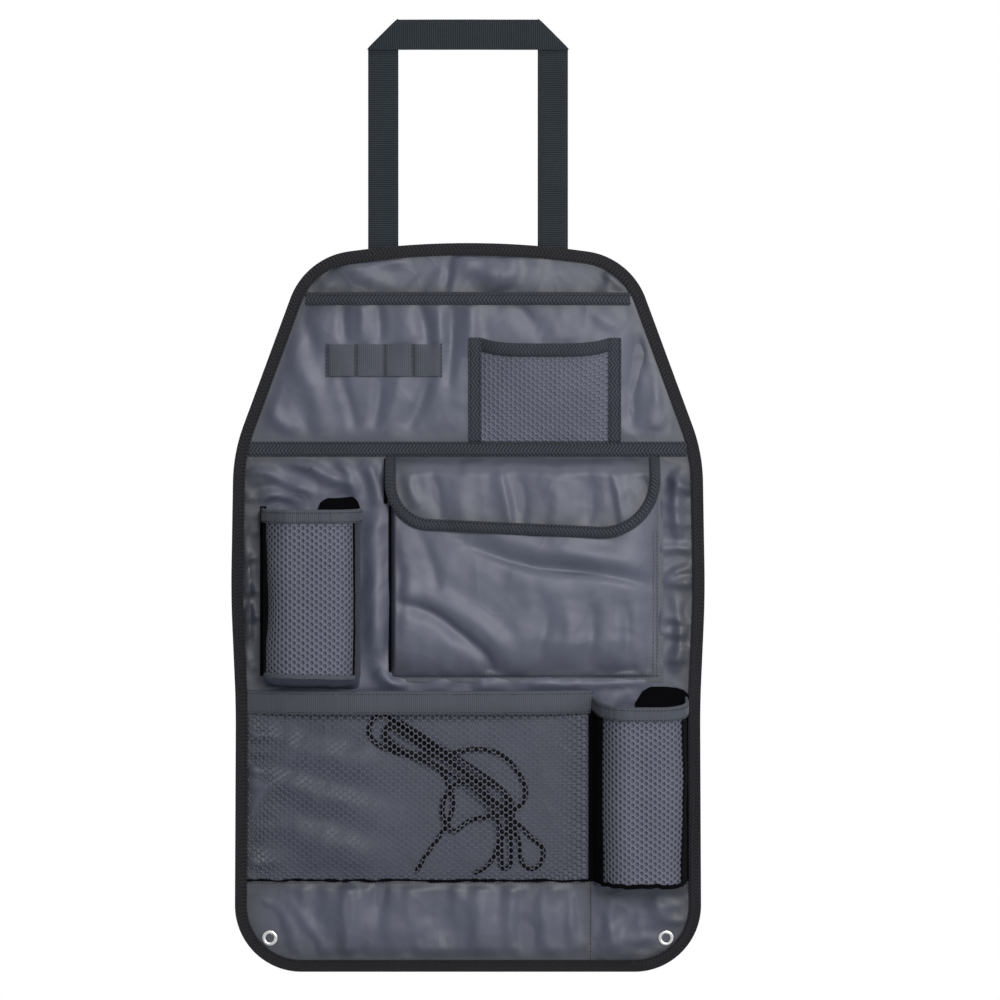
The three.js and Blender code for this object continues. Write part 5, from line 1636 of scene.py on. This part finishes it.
WEAVE, RIBS, TONE, CRUMPLES = weave_group(), rib_group(), tone_group(), crumple_group()
PLAIN = {"Threads per metre": 1500.0}
TWILL = {"Ribs per metre": 330.0, "Slant": 0.8, "Zigzag": 0.0045}
SATIN = dict(roughness=0.52, contrast=0.15, relief=0.03, sheen=0.0, specular=0.48)
MATT = dict(roughness=0.66, contrast=0.8, relief=0.4, sheen=0.04, specular=0.14)
ELASTIC = dict(MATT, contrast=0.35, relief=0.15)
KNIT = dict(roughness=0.6, contrast=0.3, relief=0.05, sheen=0.04, specular=0.2)
DEEP = dict(MATT, specular=0.02, sheen=0.0)
BRAIDED = dict(MATT, specular=0.1)
BROAD, CREASED, WAVY = (1.2, 0.15, 0.04, 30.0), (1.0, 0.12, 0.03, 26.0), (0.6, 0.1, 0.05, 40.0)
LOOSE, STILL = (1.6, 0.4, 0.1, 22.0), (0.3, 0.0, 0.05, 60.0)
ribs = lambda count, **more: {"Ribs per metre": count, **more}
LOOKS = {
    "cloth": fabric("panel_cloth", (0.031, 0.036, 0.057), (0.051, 0.058, 0.088), WEAVE, PLAIN, SATIN, BROAD),
    "pocket": fabric("pocket_cloth", (0.036, 0.041, 0.063), (0.057, 0.064, 0.096), WEAVE, PLAIN,
                     SATIN, CREASED),
    "edging": fabric("edge_tape", (0.006, 0.006, 0.008), (0.018, 0.018, 0.022), RIBS, TWILL, MATT, WAVY),
    "tape": fabric("binding_tape", (0.018, 0.021, 0.028), (0.042, 0.047, 0.059), RIBS, TWILL, MATT, WAVY),
    "webbing": fabric("strap_webbing", (0.01, 0.014, 0.019), (0.024, 0.031, 0.038), RIBS,
                      ribs(560.0, Along=1.0), MATT, LOOSE),
    "net": fabric("knitted_net", (0.074, 0.079, 0.108), (0.13, 0.137, 0.18), RIBS, ribs(2600.0), KNIT, WAVY),
    "backing": fabric("knit_backing", (0.07, 0.074, 0.1), (0.108, 0.114, 0.15), WEAVE, PLAIN, KNIT, WAVY),
    "mesh": fabric("open_net", (0.06, 0.064, 0.084), (0.105, 0.11, 0.142), RIBS, ribs(2600.0), KNIT, WAVY),
    "band": fabric("elastic_band", (0.042, 0.047, 0.058), (0.066, 0.072, 0.088), RIBS, ribs(620.0),
                   ELASTIC, WAVY),
    # black: painted shadow on the welt, mouths, gussets, right hem, flanges and floor seam, and the dark
    # holder seam tapes; DEEP keeps it from shining
    "black": fabric("black_seam_and_painted_shadow", (0.002, 0.002, 0.003), (0.005, 0.005, 0.006), WEAVE, PLAIN,
                    DEEP, CREASED),
    "cord": fabric("braided_cord", (0.003, 0.003, 0.004), (0.008, 0.008, 0.01), RIBS, ribs(900.0),
                   BRAIDED, STILL),
    "thread": fabric("sewing_thread", (0.004, 0.004, 0.005), (0.012, 0.013, 0.016), RIBS, ribs(3000.0),
                     MATT, STILL),
    "nickel": nickel(),
}
NET_TREE = net_tree()


# Stitches

def thread_stitch():
    """One stitch of thread along x, with its ends dipping into the cloth."""
    length, radius, sides, rings = STITCH_LENGTH, STITCH_RADIUS, 5, 4
    verts, faces = [], []
    for i in range(rings):
        t = i / (rings - 1)
        taper = max(0.25, math.sin(math.pi * min(max(t, 0.08), 0.92)) ** 0.5)
        lift = 0.22 * math.sin(math.pi * t) - 0.1
        for j in range(sides):
            a = 2 * math.pi * j / sides
            across, height = radius * taper * math.cos(a), radius * taper * math.sin(a) + lift
            verts.append(((t - 0.5) * length * MM, across * MM, height * MM))
    for i in range(rings - 1):
        for j in range(sides):
            k = (j + 1) % sides
            faces.append([i * sides + j, i * sides + k, (i + 1) * sides + k, (i + 1) * sides + j])
    faces.append(list(range(sides))[::-1])
    faces.append([(rings - 1) * sides + j for j in range(sides)])
    mesh = bpy.data.meshes.new("thread_stitch")
    mesh.from_pydata(verts, [], [face[::-1] for face in faces])
    mesh.polygons.foreach_set("use_smooth", [True] * len(mesh.polygons))
    return link("thread_stitch", mesh)


def stitch_tree():
    """Geometry Nodes: stitches at even steps along seam lines."""
    inputs = {"Stitch": "Object", "Pitch": "Float", "Unevenness": "Float", "Material": "Material"}
    tree, g, given, result = geometry_tree("stitch_rows", inputs)
    line = g.node("GeometryNodeMeshToCurve", {"Mesh": given["Geometry"]})
    even = g.node("GeometryNodeResampleCurve", {
        "Curve": line.outputs["Curve"], "Length": given["Pitch"]}, mode="LENGTH")
    tangent = g.node("GeometryNodeInputTangent")
    turn = g.node("FunctionNodeAlignRotationToVector", {"Vector": tangent.outputs[0]}, axis="X")
    least = g.minus(1.0, given["Unevenness"])
    jitter = g.node("FunctionNodeRandomValue", {"Seed": 7, 2: least, 3: 1.0}, data_type="FLOAT")
    stitch = g.node("GeometryNodeObjectInfo", {"Object": given["Stitch"]})
    place = g.node("GeometryNodeInstanceOnPoints", {
        "Points": even.outputs["Curve"], "Instance": stitch.outputs["Geometry"],
        "Rotation": turn.outputs["Rotation"], "Scale": jitter.outputs[1]})
    real = g.node("GeometryNodeRealizeInstances", {"Geometry": place.outputs["Instances"]})
    paint = g.node("GeometryNodeSetMaterial", {
        "Geometry": real.outputs["Geometry"], "Material": given["Material"]})
    g.feed(result, paint.outputs["Geometry"])
    return tree


STITCH_TREE = stitch_tree()


def stitches(name, lines, pitch=3.0):
    """Rows of stitches along lines of panel points, made into one piece."""
    verts, edges = [], []
    for line in lines:
        start = len(verts)
        verts.extend(out(line).tolist())
        edges.extend([(start + i, start + i + 1) for i in range(len(line) - 1)])
    mesh = bpy.data.meshes.new(name)
    mesh.from_pydata(verts, edges, [])
    source, stitch = link(name, mesh), thread_stitch()
    made = run_tree(STITCH_TREE, source, {
        "Stitch": stitch, "Pitch": pitch * MM, "Unevenness": 0.2, "Material": LOOKS["thread"]})
    bpy.data.objects.remove(stitch)
    made.name = name
    return link(name, made)


# Dressing

def finish_piece(piece, look, nodes=()):
    piece.data.materials.clear()
    piece.data.materials.append(LOOKS[look])
    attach(piece, BODY)
    if nodes:
        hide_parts(*nodes)


def sheet_piece(piece, look, nodes=()):
    finish_piece(piece, look, nodes)


def outline_area(points):
    """Area inside a closed line, in square metres."""
    x, y = np.asarray(points)[:, 0], np.asarray(points)[:, 1]
    return abs(float(x @ np.roll(y, -1) - y @ np.roll(x, -1))) / 2 * MM * MM


def holder_sizes(holder):
    first, last, total = holder["lines"][:3]
    return first, last, total, holder["top"] - holder["bottom"]


def net_sheet(piece, look, node, width, height, hole_axes, held):
    sheet_piece(piece, look, [node])


def dress_panel():
    finish_piece(elastic_cord(), "cord", ["elastic_cord"])
    sheet_piece(back_panel(), "cloth", ["back_panel"])
    finish_piece(edge_binding(), "edging", ["edge_binding"])
    finish_piece(hanging_strap(), "webbing", ["hanging_strap"])
    finish_piece(middle_tape(), "tape", ["middle_tape"])


def dress_upper_pocket():
    line = [(half_width(CLOTH_EDGE, y), y) for y in rows_between(MIDDLE_SEAM, UPPER_TOP, 4)]
    line += [(-x, y) for x, y in reversed(line)]
    size = (2 * half_width(CLOTH_EDGE, MIDDLE_SEAM), UPPER_TOP - MIDDLE_SEAM)
    front = upper_pocket_front()
    sheet_piece(front, "pocket", ["upper_pocket_front"])
    finish_piece(upper_tape(), "tape", ["upper_pocket_binding"])
    finish_piece(pen_band(), "band", ["pen_loop_band"])


def dress_card_pocket():
    width, height = CARD_RIGHT - CARD_LEFT - 2 * CARD_TAPE_WIDTH, CARD_TOP - UPPER_FOOT - CARD_BAND
    size = width + 2 * CARD_TUCK, height
    net_sheet(card_net(), "net", "card_pocket_net", *size, CARD_HOLE, "stretched")
    sheet_piece(card_backing(), "backing")
    finish_piece(card_band(), "tape", ["card_pocket_top_band"])
    for side, left, seed in (("left", CARD_LEFT, 97), ("right", CARD_RIGHT - CARD_TAPE_WIDTH, 98)):
        tape = card_side(f"card_{side}_tape", left, seed)
        finish_piece(tape, "tape", [f"card_pocket_{side}_tape"])


def dress_flap_pocket():
    sheet_piece(flap_pocket_bag(), "pocket", ["flap_pocket_bag"])
    finish_piece(bag_welt(), "black")
    line = np.vstack([flap_edge_points(), [(FLAP_RIGHT, MIDDLE_SEAM), (FLAP_LEFT, MIDDLE_SEAM)]])
    sheet_piece(flap(), "pocket", ["flap"])
    finish_piece(flap_binding(), "tape", ["flap_binding"])


def dress_lower_pocket():
    size = LOWER_RIGHT + half_width(CLOTH_EDGE, -150.0) - 1, LOWER_TOP - LOWER_BAND - LOWER_FLOOR
    net_sheet(lower_net(), "mesh", "lower_pocket_net", *size, LOWER_HOLE, "hung")
    finish_piece(lower_band(), "band", ["lower_pocket_top_band"])
    line = CLOTH_EDGE[(CLOTH_EDGE[:, 1] < LOWER_FLOOR) & (CLOTH_EDGE[:, 0] < LOWER_RIGHT)]
    line = np.vstack([line[np.argsort(line[:, 0], kind="stable")], [(LOWER_RIGHT, LOWER_FLOOR)]])
    size, area = line.max(axis=0) - line.min(axis=0), outline_area(line)
    sheet_piece(lower_strip(), "pocket", ["lower_pocket_strip"])


def dress_holder(holder):
    side = holder["name"]
    first, last, total, tall = holder_sizes(holder)
    width, height = last - first, tall - holder["band"]
    net_sheet(holder_net(holder), "net", f"{side}_holder_net", width, height, HOLDER_HOLE, "stretched")
    sheet_piece(holder_backing(holder), "backing")
    finish_piece(holder_band(holder), "band", [f"{side}_holder_top_band"])
    sheet_piece(holder_base(holder), "pocket", [f"{side}_holder_base"])
    finish_piece(holder_hem(holder), holder["hem"])
    sheet_piece(holder_lining(holder), "black")
    for end, width in (("left", first + 0.9), ("right", total - last + 0.9)):
        gusset = holder_gusset(holder, end)
        sheet_piece(gusset, holder["sides"][end])
        finish_piece(holder_seam(holder, end), "black")


def dress_eyelets():
    for side, top, name in ((-1, LAYER_ONE + CLOTH, "left"), (1, CLOTH, "right")):
        ring, washer = eyelet(side, top)
        finish_piece(ring, "nickel", [f"{name}_eyelet"])
        finish_piece(washer, "nickel", [f"{name}_eyelet_washer"])


# Name, left, right, foot, top, height and seed of each black strip of painted shadow beside a holder or the
# flap
PAINTED_SHADOW_STRIPS = [
    ("flap_lining_edge", -69.2, -66.6, 86, 123, LAYER_ONE, 143),
    ("left_holder_left_flange", -171.4, -166.2, -56, 84, CLOTH, 121),
    ("right_holder_left_flange", 99.4, 106, -225, -82, LAYER_TWO + 0.6, 141),
    ("right_holder_right_flange", 178.6, 182.2, -225, -72, CLOTH, 142),
]
dress_panel()
dress_upper_pocket()
dress_card_pocket()
dress_flap_pocket()
dress_lower_pocket()
dress_holder(LEFT_HOLDER)
dress_holder(RIGHT_HOLDER)
finish_piece(floor_seam(), "black")
# Black strips of painted shadow beside the holders and the flap
for flange in PAINTED_SHADOW_STRIPS:
    finish_piece(holder_flange(*flange), "black")
dress_eyelets()


# Stitches along the seams

def level_line(left, right, y, height):
    """Points from left to right at y on a surface that height gives."""
    x = rows_between(left, right, STITCH_LINE)
    y = y(x) if callable(y) else y + 0 * x
    return stack(x, y, height(x, y))


def upright_line(x, low, high, height):
    y = rows_between(low, high, STITCH_LINE)
    return stack(x + 0 * y, y, height(x + 0 * y, y))


def tape_stitches():
    inner = panel_loop(EDGE_TAPE_WIDTH - 1.4)
    inner = np.vstack([inner, inner[:1]])
    reach = half_width(CLEAR_EDGE, MIDDLE_SEAM)
    lines = [stack(inner[:, 0], inner[:, 1], LAYER_TWO + TAPE + 0.15)]
    for shift in (-1, 1):
        y = MIDDLE_SEAM + shift * (MIDDLE_TAPE_WIDTH / 2 - 1.5)
        lines.append(level_line(-reach, reach, y, level(LAYER_TWO + TAPE + 0.25)))
    reach = half_width(CLEAR_EDGE, UPPER_TOP)
    for drop in (1.6, UPPER_TAPE_WIDTH - 1.5):
        lines.append(level_line(-reach, reach, UPPER_TOP - drop, above(upper_z, ON_TAPE + 0.15)))
    return lines


def pocket_stitches():
    on_card = above(card_z, ON_TAPE + 0.1)
    lines = []
    for left in (CARD_LEFT, CARD_RIGHT - CARD_TAPE_WIDTH):
        for inset in (1.5, CARD_TAPE_WIDTH - 1.5):
            lines.append(upright_line(left + inset, UPPER_FOOT, CARD_TOP - 2, on_card))
    foot = lambda x: card_top(x) - CARD_BAND + 1.4
    lines.append(level_line(CARD_LEFT + CARD_TAPE_WIDTH, CARD_RIGHT - CARD_TAPE_WIDTH, foot, on_card))
    on_pen = above(upper_z, ON_TAPE + 0.1)
    for k in range(PEN_LOOPS + 1):
        x = PEN_LEFT + PEN_SEAM / 2 + k * (PEN_WIDTH + PEN_SEAM)
        lines.append(upright_line(x, PEN_TOP - PEN_HEIGHT, PEN_TOP, on_pen))
    on_bag = above(bag_z, CLOTH + 0.1)
    for inset in (1.2, 4.4):
        lines.append(upright_line(BAG_RIGHT - inset, BAG_BOTTOM + inset, 62, on_bag))
    lines.append(level_line(BAG_LEFT, BAG_RIGHT - 1.2, BAG_BOTTOM + 1.2, on_bag))
    return lines


def flap_stitches():
    path, inward = flap_rim()
    spot = path + inward * (FLAP_TAPE_WIDTH - TAPE - 1.6)
    x, y = spot.T
    return [stack(x, y, flap_z(x, y) + ON_TAPE + 0.15)]


def lower_stitches():
    top = LOWER_TOP - TAPE - GAP
    left = -half_width(CLEAR_EDGE, top)
    on_band = above(lower_z, ON_TAPE + 0.1)
    lines = [level_line(left, LOWER_RIGHT, top - drop, on_band) for drop in (1.6, LOWER_BAND - 1.4)]
    left = -half_width(CLEAR_EDGE, LOWER_FLOOR)
    lines.append(level_line(left, LOWER_RIGHT, LOWER_FLOOR - 1.6, level(LAYER_TWO + 0.1)))
    lines.append(upright_line(LOWER_RIGHT - 1.2, -292, LOWER_FLOOR, level(LAYER_TWO + 0.1)))
    for holder in (LEFT_HOLDER, RIGHT_HOLDER):
        s = rows_between(2, holder["lines"][2] - 2, 3)
        for drop in (1.8, holder["band"] - 1.4):
            lines.append(holder_point(holder, s, holder_rim(holder, s) - drop, 2.1))
    return lines


for seam_lines in (tape_stitches, pocket_stitches, flap_stitches, lower_stitches):
    finish_piece(stitches(seam_lines.__name__, seam_lines()), "thread")


# Camera, light and room

# Size of the picture, millimetres to one of its pixels, and the pixel where the frame's origin lies
IMAGE_SIZE = 1000
PIXEL = 0.825
ORIGIN_COLUMN, ORIGIN_ROW = 468, 608
VIEW_CENTRE = (IMAGE_SIZE / 2 - ORIGIN_COLUMN) * PIXEL * MM, (ORIGIN_ROW - IMAGE_SIZE / 2) * PIXEL * MM
FRAME_WIDTH = IMAGE_SIZE * PIXEL * MM
SENSOR = 36
CAMERA_DISTANCE = 2.6
FLOOR_HALF, FLOOR_LOW = 2.0, -0.72

# Name, place, size in metres and watts of each lamp, all aimed at the frame's origin
LAMPS = [
    ("key", (0.72, -2.2, 0.66), (0.8, 0.7), 56),
    ("side", (1.9, -0.9, 0.5), (0.5, 1.3), 9),
    ("top", (0.2, -0.6, 1.9), (1.2, 0.4), 11),
]


def camera():
    data = bpy.data.cameras.new("camera")
    data.sensor_width = SENSOR
    data.lens = SENSOR * CAMERA_DISTANCE / FRAME_WIDTH
    eye = link("camera", data)
    eye.location = (VIEW_CENTRE[0], -CAMERA_DISTANCE, VIEW_CENTRE[1])
    eye.rotation_euler = (math.pi / 2, 0, 0)
    bpy.context.scene.camera = eye


def softbox(name, place, size, watts):
    data = bpy.data.lights.new(name, "AREA")
    data.shape = "RECTANGLE"
    data.size, data.size_y = size
    data.energy = watts
    lamp = link(name, data)
    lamp.location = place
    aim = -np.array(place)
    yaw = math.atan2(aim[1], aim[0]) - math.pi / 2
    pitch = math.atan2(aim[2], math.hypot(aim[0], aim[1]))
    lamp.rotation_euler = (math.pi / 2 + pitch, 0, yaw)


def room():
    world = bpy.data.worlds.new("studio")
    bpy.context.scene.world = world
    world.use_nodes = True
    g = Graph(world.node_tree)
    soft = world.node_tree.nodes["Background"]
    soft.inputs["Color"].default_value = (0.93, 0.96, 1.0, 1)
    soft.inputs["Strength"].default_value = 0.2
    white = g.node("ShaderNodeBackground", {"Color": (1, 1, 1, 1), "Strength": 1.0})
    rays = g.node("ShaderNodeLightPath")
    seen = g.plus(rays.outputs["Is Camera Ray"], rays.outputs["Is Glossy Ray"])
    seen = g.math("MINIMUM", g.plus(seen, rays.outputs["Is Transmission Ray"]), 1.0)
    mix = g.node("ShaderNodeMixShader", {0: seen, 1: soft.outputs[0], 2: white.outputs[0]})
    world.node_tree.links.new(mix.outputs[0], world.node_tree.nodes["World Output"].inputs["Surface"])
    bpy.context.scene.view_settings.view_transform = "Standard"


def floor():
    mesh = bpy.data.meshes.new("floor")
    half, low = FLOOR_HALF, FLOOR_LOW
    corners = [(-half, -half, low), (half, -half, low), (half, half, low), (-half, half, low)]
    mesh.from_pydata(corners, [], [(0, 1, 2, 3)])
    material = bpy.data.materials.new("pale_floor")
    material.use_nodes = True
    surface = material.node_tree.nodes["Principled BSDF"]
    surface.inputs["Base Color"].default_value = (0.82, 0.82, 0.82, 1)
    surface.inputs["Roughness"].default_value = 0.9
    mesh.materials.append(material)
    link("floor", mesh)


camera()
room()
floor()
for lamp in LAMPS:
    softbox(*lamp)
